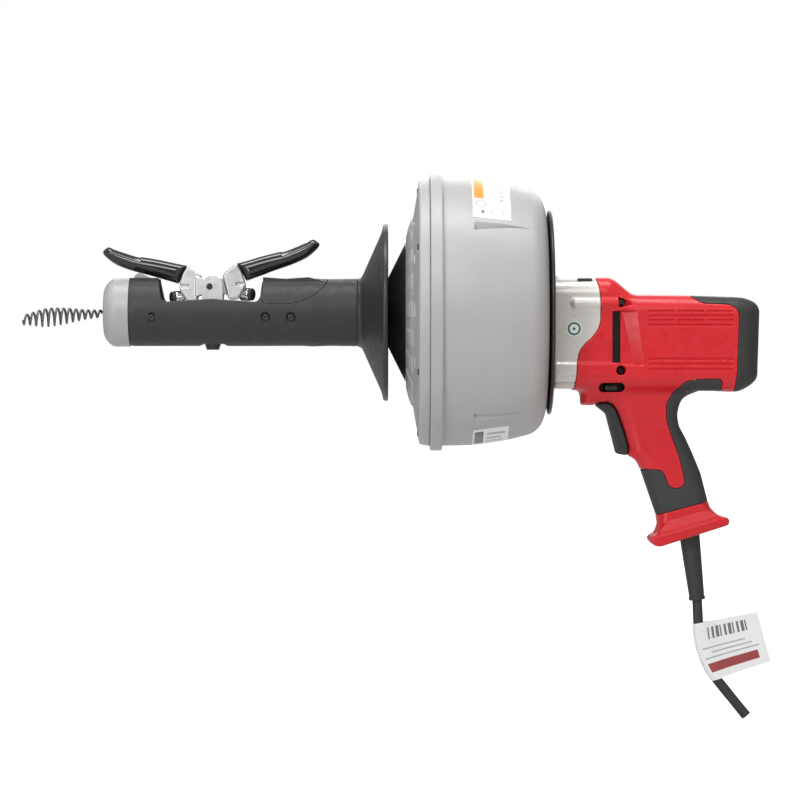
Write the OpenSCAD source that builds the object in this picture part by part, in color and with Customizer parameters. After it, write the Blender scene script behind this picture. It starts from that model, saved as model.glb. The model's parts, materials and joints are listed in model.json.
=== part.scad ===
// Hand-held drum drain snake: motor unit, cable drum, swivelling front grip with two feed levers.
// Frame: the origin is on the cable axis at the rear face of the nose cap, +X runs back to the motor,
// +Z is up. Sizes are in millimetres.

/* [Cable] */
// Outside diameter of the wound steel cable
cable_d = 8; // [7.8:0.1:8.2]
// Wire diameter of the open bulb auger
auger_wire_d = 1.8; // [1.4:0.2:2.2]
// Turns in the bulb auger
auger_turns = 14; // [10:1:15]
// Largest outside diameter of the bulb auger
bulb_d = 17.4; // [14:0.2:20]
// Distance that the bulb auger's tip hangs below the cable axis
auger_droop = 4.5; // [0:0.5:6]
// Rings of cable side by side in the coil
coil_columns = 4; // [2:1:7]
// Layers of cable in the coil
coil_layers = 3; // [1:1:5]

/* [Drum] */
// Radius of the flange where the drum halves meet
flange_r = 121.5; // [120:0.5:126]
// Wall thickness of the drum
drum_wall = 3; // [2.5:0.5:3.5]
// Screws round the drum's flange
flange_screws = 6; // [4:1:8]

/* [Front grip] */
// Radius of the nose cap, which takes a guide-hose collar
nose_r = 30; // [29.6:0.1:30]
// Radius of the grip housing
grip_r = 29.5; // [29:0.1:29.5]
// Wall thickness of the grip housing
grip_wall = 3.5; // [3:0.1:3.5]
// Rim radius of the hand guard
guard_rim_r = 78; // [74:1:84]

/* [Feed levers] */
// Radius of a feed roller
roller_r = 6; // [5.6:0.1:6]
// Length of a feed roller
roller_len = 9; // [8:0.5:9]
// Angle between a feed roller and the cable, seen from above
roller_skew = 25; // [18:1:27]
// Angle that the advance lever still travels before its roller meets the cable
advance_left = 5.5; // [5:0.5:5.5]
// Angle that the retract lever travels before its roller meets the cable
retract_left = 9.8; // [9:0.2:9.8]
// Gap between a pressed roller and the cable
roller_gap = 0.12; // [0.1:0.01:0.3]

/* [Gears] */
// Teeth of the gear on the drum spindle
output_teeth = 46; // [46]
// Teeth of the pinion cut in the countershaft
counter_pinion_teeth = 10; // [10]
// Gear module of the output pair
output_module = 1; // [1]
// Teeth of the countershaft gear
counter_gear_teeth = 40; // [40]
// Teeth of the pinion cut in the motor shaft
motor_pinion_teeth = 10; // [10]
// Gear module of the motor pair
motor_module = 0.75; // [0.75]
// Circumferential play between meshed teeth
backlash = 0.15; // [0.12:0.01:0.2]

/* [Motor unit] */
// Half width of the motor shells
shell_half_w = 38.5; // [38.5:0.1:40]
// Radius of the rear guard disc
rear_guard_r = 89.8; // [86:0.2:92]
// Blades of the motor fan
fan_blades = 12; // [8:1:16]
// Half width of the trigger
trigger_half_w = 8; // [6:0.5:8]
// Radius of the power cord
cord_r = 4.4; // [4.2:0.1:4.4]

/* [Hidden] */
$fn = 96;
cable_r = cable_d / 2;
run_gap = 0.05;
play = 0.1;

// Cable and auger
lead_front_x = -24;
lead_rear_x = 330;
auger_len = 70.5;
auger_sides = 6;
auger_steps = 12;
coil_r = 95.2;
coil_x = 334.8;
coil_pitch = cable_d + 0.3;

// Drum
drum_seam_x = 268.4;
hub_x = 358.6;
drum_rear_x = 365.6;
hub_tube_r = 16;
hub_tube_bore_r = 12;
cone_r = 60.7;
cone_x = 241.9;
flange_boss_r = 106;
spindle_r = 8.5;
journal_r = 6;

// Front grip
grip_len = 200;
grip_bore_r = grip_r - grip_wall;
slot_half_w = 10.5;
block_top_z = 6;
block_x0 = 12;
block_x1 = 150;
screw_x = [20.7, 120, 142];
screw_z = -5;
bracket_x0 = 63.6;
bracket_x1 = 81.6;
guard_x = 222.2;

// Levers
pivot_x = 70;
pivot_z = 22.5;
pin_r = 2.5;
ear_in = 9.6;
ear_out = 12;
roller_tilt = 12;
axle_r = 2;
cap_r = 5.2;
cap_len = 3;
pressed_arm = 26.6;
rear_reach = 3.2;
body_reach = 4.6;
rest_difference = 4.3;
roller_drop = roller_r * cos(roller_tilt) + roller_len / 2 * sin(roller_tilt);
pressed_z = cable_r + roller_gap + roller_drop - pivot_z;
idler_x = [42, 101];
idler_z = -(cable_r + roller_gap + roller_r);

// Gear train
output_centre = [0, 0];
centre_out = output_module * (output_teeth + counter_pinion_teeth) / 2;
centre_motor = motor_module * (counter_gear_teeth + motor_pinion_teeth) / 2;
rotor_z = -25;
mesh_angle = acos((centre_out * centre_out + rotor_z * rotor_z - centre_motor * centre_motor)
    / (2 * centre_out * -rotor_z));
counter_centre = [centre_out * sin(mesh_angle), -centre_out * cos(mesh_angle)];
rotor_centre = [0, rotor_z];
out_line = atan2(counter_centre[1], counter_centre[0]);
motor_line = atan2(rotor_z - counter_centre[1], -counter_centre[0]);
pressure_angle = 20;
pinion_shift = 0.5;
tip_limit = 6.2;

// Motor unit
body_axis_z = -27.4;
body_r = 41.7;
front_axis_z = -19;
front_r = 52;
shell_wall = 3.2;
body_front_x = 440;
inner_half_w = shell_half_w - shell_wall;
field_r = 34;
commutator_r = 13;
brush_x = 514;
shell_screw_at = [[429.4, 8.1], [429, -51.3], [495, -150], [462, -156]];
handle_half_w = 18;
core_half_w = 14.5;
base_half_w = 22;
slider_at = [421.5, -66.1];

// Cord
relief_at = [492, -198];
relief_tilt = 6.7;
relief_len = 55;
bend_at = [499.6, -278];
bend_r = 80;
cord_kink = relief_at + (relief_len + 1) * [sin(relief_tilt), -cos(relief_tilt)];
bend_from = atan2(bend_at[0] - cord_kink[0], cord_kink[1] - bend_at[1]);
bend_to = 39;
cord_tail = 38.5;

// Outlines in the XZ plane
red_front = [
    [388.5, -67.7], [390.3, -57], [390.9, -45], [392.5, -35.6], [396.9, -29], [404.2, -22.5],
    [409, -16], [411.4, -9], [411.4, 8], [410.7, 19], [407.4, 29.8]
];
cap_edge = [
    [488.4, 14.5], [492.6, 11.4], [501, 6.8], [522.3, 6.3], [529, 3], [531.5, -2], [530, -52],
    [528, -67]
];
sleeve_edge = [
    [517, -67.5], [517, -60.5], [514.6, -58.5], [493.5, -59.1], [485, -61.2], [475.4, -69.8],
    [469.6, -80.4], [470.1, -95.4], [475.4, -111.4], [480.7, -125.2], [485, -142.3], [486, -149.8],
    [482.9, -153.5], [476.4, -154.5], [472.2, -151.9], [467.9, -141.2], [464.7, -138.1],
    [447.7, -137.5]
];
trigger_edge = [
    [437, -125.8], [438.1, -121.5], [438.1, -118.9], [433.8, -103.9], [429.5, -91.1],
    [426.4, -83.7], [421, -78.8], [412.5, -78.5]
];
red_outline = concat(
    red_front, [[421.8, 29.8], [439.5, 14.7]], cap_edge, sleeve_edge,
    [[447.7, -136], [444.5, -130.1]], trigger_edge, [[407.2, -81.5], [396, -81.5], [394.9, -68.7]]
);
sleeve_outline = concat(
    sleeve_edge,
    [
        [462, -177.6], [506, -166], [501, -141.2], [493.5, -123.1], [487.1, -109.2], [481.8, -99.6],
        [480.2, -90], [481.8, -81.5], [484.4, -76.1], [490.3, -71.9], [495.3, -69.1], [517, -69.1]
    ]
);
core_outline = [
    [452, -139], [465.8, -177.8], [502.2, -168.2], [497.6, -142.2], [490.2, -124.4], [483.9, -110.6],
    [478.8, -100.4], [477.2, -90], [478.7, -82.4], [481.5, -78.4], [487, -73], [487, -66.2],
    [470, -66.2], [455, -90]
];
handle_cavity = [
    [442, -86], [466, -84], [473, -92], [475, -101], [480, -112], [486.5, -126], [494, -143],
    [498, -163], [467.5, -172.5], [455.5, -140], [448, -124], [443, -104]
];
base_outline = [
    [462, -177.6], [463.1, -179.6], [463.7, -186], [461.6, -193.5], [456.2, -196.7], [455.7, -199.8],
    [459.4, -204.7], [464.7, -205.2], [524.5, -186.1], [524.5, -180.2], [515.2, -177.8],
    [508.6, -171], [506, -166]
];
gearbox_outline = concat([[371, 29.5]], [for (i = [len(red_front) - 1:-1:0]) red_front[i]],
    [[371, -67.7]]);
cover_outline = [
    [117, 32], [117, 6.8], [143, 6.8], [150, 8.9], [158, 12], [165, 16.4], [170, 21.6], [174, 27.5],
    [175, 32]
];

// ---- Helpers ----

// Stands a child drawn in XY up so that its X, Y and Z become Y, Z and X
module along_x(x, at = [0, 0]) {
    translate([x, at[0], at[1]]) rotate([90, 0, 90]) children();
}

module rod(x0, x1, r, at = [0, 0]) {
    along_x(x0, at) cylinder(h = x1 - x0, r = r);
}

module ring(x0, x1, r_out, r_in, at = [0, 0]) {
    difference() {
        rod(x0, x1, r_out, at);
        rod(x0 - 1, x1 + 1, r_in, at);
    }
}

// Turns an outline of [radius, x] points round the cable axis
module turned(points) {
    along_x(0) rotate_extrude() polygon(points);
}

// Extrudes an XZ outline from y0 to y1
module plate(points, y0, y1) {
    translate([0, y1, 0]) rotate([90, 0, 0]) linear_extrude(y1 - y0) polygon(points);
}

module cross_pin(x, z, y0, y1, r) {
    translate([x, y1, z]) rotate([90, 0, 0]) cylinder(h = y1 - y0, r = r);
}

module block(x0, x1, y0, y1, z0, z1) {
    translate([x0, y0, z0]) cube([x1 - x0, y1 - y0, z1 - z0]);
}

module around(count, r, start = 0) {
    for (i = [0:count - 1]) rotate([start + 360 * i / count, 0, 0]) translate([0, 0, r]) children();
}

function involute(radius, base) = let (a = acos(base / radius)) tan(a) * 180 / PI - a;

// Angle from the middle of a tooth to its flank at a radius
function flank(radius, pitch_r, base, half_tooth) =
    half_tooth + involute(pitch_r, base) - involute(max(radius, base), base);

function tooth(pitch_r, root, base, tip, half_tooth, middle) =
    let (radii = [root, base, (base + 2 * pitch_r) / 3, (pitch_r + tip) / 2, tip])
    concat(
        [for (r = radii) let (a = middle - flank(r, pitch_r, base, half_tooth)) r * [cos(a), sin(a)]],
        [for (i = [len(radii) - 1:-1:0]) let (r = radii[i], a = middle + flank(r, pitch_r, base,
            half_tooth)) r * [cos(a), sin(a)]]
    );

// A spur gear outline with one tooth centred on the angle phase
function gear_outline(teeth, size, shift, tip_r, phase) =
    let (
        pitch_r = size * teeth / 2,
        base = pitch_r * cos(pressure_angle),
        root = pitch_r - size * (1.25 - shift),
        width = size * (PI / 2 + 2 * shift * tan(pressure_angle)) - backlash / 2,
        half_tooth = width / pitch_r / 2 * 180 / PI
    )
    [for (i = [0:teeth - 1]) each tooth(pitch_r, root, base, tip_r, half_tooth,
        phase + 360 * i / teeth)];

module pinion(x0, x1, teeth, size, phase, at) {
    along_x(x0, at) linear_extrude(x1 - x0)
        polygon(gear_outline(teeth, size, pinion_shift, tip_limit * size, phase));
}

module wheel(x0, x1, teeth, size, phase, bore_r, at) {
    difference() {
        along_x(x0, at) linear_extrude(x1 - x0)
            polygon(gear_outline(teeth, size, -pinion_shift,
                size * (teeth / 2 + 1 - pinion_shift), phase));
        rod(x0 - 1, x1 + 1, bore_r, at);
    }
}

// ---- Cable ----

module cable_lead() {
    color("dimgray") rod(lead_front_x, lead_rear_x, cable_r);
}

// Outside radius of the auger at t, from 0 at the nose to 1 at the tip
function auger_r(t) = cable_r - 0.2 + (bulb_d / 2 - cable_r + 0.2) * pow(sin(min(t * 135, 135)), 2);

function auger_point(i, k) =
    let (
        t = i / (auger_turns * auger_steps),
        turn = 360 * i / auger_steps,
        side = 360 * k / auger_sides,
        wire_r = auger_wire_d / 2,
        reach = auger_r(t) - wire_r + wire_r * cos(side)
    )
    [
        lead_front_x - wire_r - 0.1 - auger_len * t + wire_r * sin(side),
        reach * cos(turn),
        reach * sin(turn) - auger_droop * t * t
    ];

module bulb_auger() {
    last = auger_turns * auger_steps;
    points = [for (i = [0:last]) for (k = [0:auger_sides - 1]) auger_point(i, k)];
    walls = [for (i = [0:last - 1]) for (k = [0:auger_sides - 1]) let (
            a = i * auger_sides + k,
            b = i * auger_sides + (k + 1) % auger_sides
        ) each [[a, b, b + auger_sides], [a, b + auger_sides, a + auger_sides]]];
    start = [for (k = [auger_sides - 1:-1:0]) k];
    end = [for (k = [0:auger_sides - 1]) last * auger_sides + k];
    color("dimgray") polyhedron(points, concat([start], walls, [end]));
}

module cable_coil() {
    color("dimgray") for (c = [0:coil_columns - 1]) for (l = [0:coil_layers - 1])
        along_x(coil_x - c * coil_pitch) rotate_extrude()
            translate([coil_r - l * coil_pitch, 0]) circle(r = cable_r);
}

// ---- Drum ----

module flange_holes(r) {
    around(flange_screws, flange_boss_r) rod(250, 281, r);
}

module drum_front() {
    w = drum_wall;
    color("silver") difference() {
        union() {
            turned([
                [57, cone_x], [cone_r, cone_x], [75.2, 245.3], [83.6, 248.6], [103.8, 252],
                [115.6, 253.7], [117.4, 262.9], [flange_r, 262.9], [flange_r, drum_seam_x],
                [114, drum_seam_x], [114, 260], [113, 253.7 + w], [103.5, 252 + w],
                [83.3, 248.6 + w], [74.9, 245.3 + w], [61, cone_x + w], [57, cone_x + w]
            ]);
            around(flange_screws, flange_boss_r) rod(253.2, drum_seam_x, 5);
        }
        flange_holes(2.2);
        around(flange_screws, flange_boss_r) rod(250, 254.4, 4.2);
    }
}

module drum_rear() {
    w = drum_wall;
    color("silver") difference() {
        union() {
            turned([
                [114, drum_seam_x], [flange_r, drum_seam_x], [flange_r, 273.9], [117.3, 273.9],
                [116.9, 300], [112.3, 331.9], [106.4, 353.8], [99.7, 360.6], [90.4, 364],
                [80, drum_rear_x], [spindle_r + run_gap, drum_rear_x], [spindle_r + run_gap, hub_x],
                [36, hub_x], [36, drum_rear_x - w], [80, drum_rear_x - w], [89.5, 364 - w],
                [98, 360.6 - w], [103.4, 353.8 - w], [109.2, 331.9 - w], [113.8, 299],
            ]);
            around(flange_screws, flange_boss_r) rod(drum_seam_x, 284, 4.5);
            around(flange_screws, flange_boss_r) block(drum_seam_x, 284, -2, 2, 0, 9);
        }
        flange_holes(2.05);
        around(4, 22, 45) rod(hub_x - 1, 364, 2.05);
    }
}

module drum_screws() {
    color("dimgray") {
        around(flange_screws, flange_boss_r) {
            rod(254.4, 280, 2);
            rod(251.9, 254.4, 3.8);
        }
        around(4, 22, 45) {
            rod(349.6, 352.6, 3.8);
            rod(352.6, 363.5, 2);
        }
    }
}

module inner_drum() {
    color("gray") turned([
        [36.1, 270], [38.6, 270], [38.6, 340], [100, 340], [100, 286], [102.5, 286], [102.5, 342.5],
        [38.6, 342.5], [38.6, drum_rear_x - drum_wall], [36.1, drum_rear_x - drum_wall]
    ]);
}

module front_cone() {
    color("black") turned([
        [hub_tube_bore_r, 190], [hub_tube_r, 190], [hub_tube_r, 219.2], [33.4, 228],
        [cone_r, cone_x], [56.9, cone_x], [56.9, 246], [53.5, 246], [53.5, 242.3], [31.5, 231.2],
        [hub_tube_r, 223.3], [hub_tube_r, 250], [hub_tube_bore_r, 250]
    ]);
}

module spindle() {
    color("lightsteelblue") difference() {
        union() {
            rod(352.6, hub_x, 30);
            rod(hub_x, 401, spindle_r);
            rod(401, 421, journal_r);
        }
        around(4, 22, 45) rod(352, 359, 2.05);
    }
}

module output_gear() {
    color("lightsteelblue")
        wheel(389, 401, output_teeth, output_module, out_line, spindle_r, output_centre);
}

module bearing_inner_and_balls() {
    color("lightsteelblue") {
        difference() {
            ring(374, 386, 12.5, spindle_r);
            along_x(380) rotate_extrude() translate([14.5, 0]) circle(r = 3);
        }
        around(9, 14.5) translate([380, 0, 0]) sphere(r = 2.95);
    }
}

// ---- Gearbox and its guard ----

module bearing_outer_race() {
    color("lightsteelblue") difference() {
        ring(374, 386, 20, 16.5);
        along_x(380) rotate_extrude() translate([14.5, 0]) circle(r = 3);
    }
}

module gearbox_cavities() {
    rod(368, 375, 10);
    rod(374, 388.6, 20);
    rod(388.5, 402.5, output_module * output_teeth / 2 + 1.3);
    rod(402, 414, 7);
    rod(380, 387, 5, counter_centre);
    rod(386.8, 403, tip_limit + 0.7, counter_centre);
    rod(402.5, 414, motor_module * counter_gear_teeth / 2 + 1.2, counter_centre);
    rod(402.5, 414, 5.6, rotor_centre);
}

module cover_screw_places() {
    for (y = [-29, 29]) for (z = [-52, 14]) translate([0, y, z]) children();
}

// The part of the gearbox that stands inside the motor shells
module gearbox_core(x0, x1, half_w, bottom) {
    intersection() {
        block(x0, x1, -half_w, half_w, bottom, 20);
        rod(x0, x1, front_r - shell_wall - 0.2, [0, front_axis_z]);
    }
}

module gearbox_housing() {
    color("gainsboro") difference() {
        union() {
            rod(370, 376, 36);
            intersection() {
                plate(gearbox_outline, -37.5, 37.5);
                rod(370, 413, front_r - 0.5, [0, front_axis_z]);
            }
            gearbox_core(385, 413, 34.9, -57);
        }
        gearbox_cavities();
        cover_screw_places() rod(394, 414, 2.05);
    }
}

module gearbox_cover() {
    color("silver") difference() {
        gearbox_core(413, 421, 34, -56);
        rod(412, 422, journal_r + 2);
        rod(412, 420, 5, counter_centre);
        rod(412, 420.5, 9.5, rotor_centre);
        rod(412, 422, 6, rotor_centre);
        cover_screw_places() rod(412, 422, 2.2);
    }
}

module gearbox_screws() {
    color("dimgray") cover_screw_places() {
        rod(395, 421, 2);
        rod(421, 424, 3.5);
    }
}

module gearbox_bushes() {
    color("goldenrod") {
        ring(413, 420.5, journal_r + 2, journal_r + run_gap);
        ring(380, 386.8, 5, 3 + run_gap, counter_centre);
        ring(413, 420, 5, 3 + run_gap, counter_centre);
    }
}

module rear_guard() {
    color("black") ring(366.5, 370, rear_guard_r, 12.5);
}

module countershaft() {
    color("lightsteelblue") {
        rod(380.5, 387, 3, counter_centre);
        pinion(387, 403, counter_pinion_teeth, output_module,
            out_line + 180 + 180 / counter_pinion_teeth, counter_centre);
        rod(403, 412, 4, counter_centre);
        rod(412, 419.5, 3, counter_centre);
    }
}

module countershaft_gear() {
    color("lightsteelblue") wheel(404.5, 411.5, counter_gear_teeth, motor_module, motor_line, 4,
        counter_centre);
}

// ---- Motor ----

module rotor_shaft() {
    color("lightsteelblue") {
        pinion(403, 413, motor_pinion_teeth, motor_module,
            motor_line + 180 + 180 / motor_pinion_teeth, rotor_centre);
        rod(413, 538, 4, rotor_centre);
    }
}

module armature_core() {
    color("slategray") difference() {
        ring(450, 496, 20.5, 4, rotor_centre);
        for (i = [0:11]) translate([0, 0, rotor_z]) rotate([30 * i, 0, 0])
            block(449, 497, -1.1, 1.1, 14.5, 21);
    }
}

module armature_windings() {
    color("sienna") {
        ring(446, 450, 18, 4, rotor_centre);
        ring(496, 506, 18, 4, rotor_centre);
    }
}

module commutator() {
    color("peru") ring(507, 520, commutator_r, 4, rotor_centre);
}

module cooling_fan() {
    color("ivory") difference() {
        union() {
            rod(436, 444, 7, rotor_centre);
            rod(442.5, 444, 29, rotor_centre);
            for (i = [0:fan_blades - 1]) translate([0, 0, rotor_z]) rotate([360 * i / fan_blades, 0, 0])
                block(436, 443, -0.8, 0.8, 6, 28);
        }
        rod(435, 445, 4, rotor_centre);
    }
}

module field_slots(gap) {
    for (s = [-1, 1]) translate([0, s * 25, rotor_z])
        block(449, 497, -4 - gap, 4 + gap, -11 - gap, 11 + gap);
}

module motor_field() {
    color("slategray") difference() {
        ring(450, 496, field_r, 21.2, rotor_centre);
        field_slots(play);
    }
}

module field_windings() {
    color("sienna") {
        intersection() {
            field_slots(0);
            rod(450, 496, 29.5, rotor_centre);
        }
        ring(446, 450, 30, 21.5, rotor_centre);
        ring(496, 502, 30, 21.5, rotor_centre);
    }
}

module rotor_bearings() {
    color("lightsteelblue") {
        ring(413.5, 420.5, 9.5, 4 + run_gap, rotor_centre);
        ring(530, 538, 11, 4 + run_gap, rotor_centre);
    }
}

module brush_holders() {
    color("goldenrod") for (s = [0, 1]) mirror([0, s, 0]) translate([brush_x, 0, rotor_z]) difference() {
        block(-5, 5, 15, inner_half_w, -4.5, 4.5);
        block(-3.1, 3.1, 14, 31, -2.6, 2.6);
    }
}

module carbon_brushes() {
    color("black") for (s = [0, 1]) mirror([0, s, 0]) difference() {
        translate([brush_x, 0, rotor_z]) block(-3, 3, 11.5, 28, -2.5, 2.5);
        rod(505, 525, commutator_r + run_gap, rotor_centre);
    }
}

// ---- Motor shells ----

module shell_screw_row(y0, y1, r) {
    for (p = shell_screw_at) cross_pin(p[0], p[1], y0, y1, r);
}

module shell_solid() {
    intersection() {
        plate(red_outline, -shell_half_w, 0);
        union() {
            rod(380, body_front_x, front_r, [0, front_axis_z]);
            rod(body_front_x, 540, body_r, [0, body_axis_z]);
        }
    }
    intersection() {
        plate(red_outline, -20, 0);
        block(380, 530, -30, 0, -160, -50);
    }
    plate(core_outline, -core_half_w, 0);
    plate(base_outline, -base_half_w, 0);
}

module front_cavity() {
    intersection() {
        plate([[380, 26.5], [420, 26.5], [437, 11.5], [437, -62], [380, -62]], -inner_half_w, 1);
        rod(379, 438, front_r - shell_wall, [0, front_axis_z]);
    }
}

module body_cavity() {
    intersection() {
        block(436, 547, -inner_half_w, inner_half_w, -80, 20);
        rod(436, 547, body_r - shell_wall, [0, body_axis_z]);
    }
}

module shell_cavity() {
    front_cavity();
    body_cavity();
    block(400, 447, -17.5, 1, -77.5, -55);
    plate(handle_cavity, -11.5, 1);
    plate([[395, -90], [405, -76], [428.5, -76], [435.5, -83], [443.5, -104], [448, -122],
        [444.5, -130.1], [430, -132]], -trigger_half_w - 0.3, 1);
    block(430, 449, -3.3, 1, -108.3, -95.9);
    translate([slider_at[0] - 11, -30, slider_at[1] - 4]) cube([22, 31, 8]);
    down_at(relief_at, relief_tilt) {
        translate([0, 0, -40]) cylinder(h = 50, r = 6.6);
        translate([0, 0, -16.2]) cylinder(h = 4.4, r = 10.6);
    }
}

module field_rib(x) {
    difference() {
        intersection() {
            block(x, x + 3, -inner_half_w - 0.5, 0, -80, 20);
            rod(x - 1, x + 4, body_r - shell_wall + 0.5, [0, body_axis_z]);
            plate(red_outline, -shell_half_w, 0);
        }
        rod(x - 1, x + 4, field_r + run_gap, rotor_centre);
    }
}

module shell_half() {
    difference() {
        union() {
            difference() {
                shell_solid();
                shell_cavity();
            }
            field_rib(451);
            field_rib(492);
            intersection() {
                shell_solid();
                shell_screw_row(-shell_half_w, 0, 4.4);
            }
        }
        shell_screw_row(-60, 1, 2.05);
    }
}

module left_motor_shell() {
    color("crimson") difference() {
        shell_half();
        for (p = shell_screw_at) cross_pin(p[0], p[1], -60, -screw_seat(p), 3.6);
    }
}

module right_motor_shell() {
    color("crimson") mirror([0, 1, 0]) shell_half();
}

// Distance from the middle plane to the seat of a shell screw's head
function screw_seat(p) = p[1] < -100 ? 11 : p[1] < -40 ? 27 : 31;

module shell_screws() {
    color("dimgray") for (p = shell_screw_at) {
        cross_pin(p[0], p[1], -screw_seat(p), core_half_w - 4, 2);
        cross_pin(p[0], p[1], -screw_seat(p) - 2.6, -screw_seat(p), 3.5);
    }
}

module rear_motor_cap() {
    color("darkslategray") {
        difference() {
            intersection() {
                plate(concat(cap_edge, [[532, -70], [543, -64.1], [549, -58.2], [551, 2.5],
                    [547, 8.4], [537, 12.5]]), -shell_half_w, shell_half_w);
                rod(480, 552, body_r, [0, body_axis_z]);
            }
            body_cavity();
        }
        ring(530, 548, 14, 11, rotor_centre);
    }
}

module handle_sleeve() {
    color("dimgray") difference() {
        union() {
            plate(sleeve_outline, -handle_half_w, handle_half_w);
            intersection() {
                plate(sleeve_outline, -shell_half_w, shell_half_w);
                rod(470, 520, body_r, [0, body_axis_z]);
            }
        }
        body_cavity();
        plate(core_outline, -core_half_w, core_half_w);
    }
}

module trigger() {
    color("black") union() {
        plate(concat(trigger_edge, [[407.7, -81], [417.8, -89], [419.9, -97.5], [426.4, -123.1],
            [428.1, -124.4]]), -trigger_half_w, trigger_half_w);
        block(430, 442, -3, 3, -108, -98);
    }
}

module switch_module() {
    color("dimgray") block(449, 468, -10.5, 10.5, -118, -89);
}

module reverse_switch() {
    color("black") translate([slider_at[0], 0, slider_at[1]]) block(-6, 6, -24, 24, -3, 3);
}

// ---- Cord ----

// Places a child so that its +Z runs down at a tilt towards +X
module down_at(at, tilt) {
    translate([at[0], 0, at[1]]) rotate([0, 180 - tilt, 0]) children();
}

module strain_relief() {
    color("black") down_at(relief_at, relief_tilt) rotate_extrude() polygon([
        [cord_r + run_gap, -16], [10.5, -16], [10.5, -12], [6.5, -12], [6.5, 3], [8.5, 3],
        [6.45, relief_len], [cord_r + run_gap, relief_len]
    ]);
}

module cord_bend(r, from, to) {
    centre = bend_at + bend_r * [cos(bend_from), sin(bend_from)];
    translate([centre[0], 0, centre[1]]) rotate([90, 0, 0]) rotate([0, 0, 180 + from])
        rotate_extrude(angle = to - from) translate([bend_r, 0]) circle(r = r);
}

function bend_point(a) =
    bend_at + bend_r * ([cos(bend_from), sin(bend_from)] - [cos(a), sin(a)]);

module power_cord() {
    inside = 40;
    color("black") union() {
        down_at(relief_at, relief_tilt) translate([0, 0, -inside])
            cylinder(h = inside + relief_len + 1, r = cord_r);
        for (p = [cord_kink, bend_at, bend_point(bend_to)]) translate([p[0], 0, p[1]])
            sphere(r = cord_r + 0.01);
        down_at(cord_kink, bend_from) cylinder(h = norm(bend_at - cord_kink), r = cord_r);
        cord_bend(cord_r, bend_from, bend_to);
        down_at(bend_point(bend_to), bend_to) cylinder(h = cord_tail, r = cord_r);
    }
}

// Points beside the cord's bend, on its outer side
function beside_bend(gap, from, to) =
    [for (a = [from:6:to]) bend_point(a) - gap * [cos(a), sin(a)]];

// A paper band folded round the cord, open towards +X
module cord_tag() {
    outside = cord_r + 1;
    inside = cord_r + 0.3;
    color("white") difference() {
        plate(concat(beside_bend(outside, 2, 36), [[562.8, -307.6], [550.4, -263.6]]),
            -outside, outside);
        plate(concat(beside_bend(inside, -4, 44), [[600, -320], [560, -240]]), -inside, inside);
    }
}

// ---- Front grip ----

module lever_slots() {
    block(-1, 27, -slot_half_w, slot_half_w, 15, 40);
    block(110, 146, -slot_half_w, slot_half_w, 22.5, 40);
}

module grip_tube() {
    ring(0, grip_len, grip_r, grip_bore_r);
}

module left_grip_shell() {
    color("dimgray") grip_half();
}

module right_grip_shell() {
    color("dimgray") mirror([0, 1, 0]) grip_half();
}

module grip_half() {
    seat = 27;
    difference() {
        intersection() {
            grip_tube();
            block(-1, grip_len + 1, -40, 0, -40, 40);
        }
        plate([[25.5, 40], [28, 12], [30, 8.8], [72, 11.3], [113, 8.8], [115, 12], [117, 40]], -40, 1);
        plate(cover_outline, -40, 1);
        lever_slots();
        plate([[57.4, -31], [63.6, -27.7], [82.6, -27.7], [88.5, -31]], -40, 1);
        translate([72.4, 0, -40]) cylinder(h = 30, r = 3.05);
        for (x = screw_x) {
            cross_pin(x, screw_z, -40, -seat, 4);
            cross_pin(x, screw_z, -40, -10, 1.6);
        }
    }
    plate([[2, 25.5], [5, 33], [9, 34.6], [20, 29.6], [20, 25.5]], -slot_half_w - 2, -slot_half_w);
}

module grip_top_cover() {
    color("dimgray") difference() {
        intersection() {
            grip_tube();
            plate(cover_outline, -40, 40);
        }
        lever_slots();
    }
}

module nose_cap() {
    color("gray") turned([
        [7, -22.9], [nose_r - 8, -22.9], [nose_r, -16], [nose_r, 0], [grip_bore_r - 0.1, 0],
        [grip_bore_r - 0.1, 8], [23, 8], [23, -14], [7, -17]
    ]);
}

module hand_guard() {
    color("black") turned([
        [22, 188], [grip_bore_r - 0.1, 188], [grip_bore_r - 0.1, grip_len], [grip_r, grip_len],
        [71, guard_x - 0.4], [guard_rim_r, guard_x], [guard_rim_r, guard_x + 4.4],
        [guard_rim_r - 3, guard_x + 4.4], [69.8, guard_x + 2.6], [29, 203.4], [22, 203.4]
    ]);
}

module grip_bearing() {
    color("goldenrod") ring(188, grip_len, 21.9, hub_tube_r + run_gap);
}

module grip_screws() {
    color("black") {
        for (s = [0, 1]) mirror([0, s, 0]) for (x = screw_x) {
            cross_pin(x, screw_z, -27, -13, 1.5);
            cross_pin(x, screw_z, -28.8, -27, 3.6);
        }
        for (y = [-17, 17]) translate([72.6, y, 0]) {
            translate([0, 0, -3]) cylinder(h = 12, r = 1.5);
            translate([0, 0, 9]) cylinder(h = 2, r = 2.8);
        }
    }
}

// Turns a child that lies along X to a roller's skew and tilt
module skewed(skew, tilt) {
    rotate([0, tilt, skew]) children();
}

module idler_at(i, r, extra) {
    skew = i == 0 ? -roller_skew : roller_skew;
    translate([idler_x[i], 0, idler_z]) skewed(skew, 0) {
        rod(-roller_len / 2 - extra, roller_len / 2 + extra, r);
        rod(-roller_len / 2 - 3 - extra, roller_len / 2 + 3 + extra,
            axle_r + (extra > 0 ? run_gap : 0));
    }
}

module front_idler() {
    color("gainsboro") idler_at(0, roller_r, 0);
}

module rear_idler() {
    color("gainsboro") idler_at(1, roller_r, 0);
}

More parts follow.
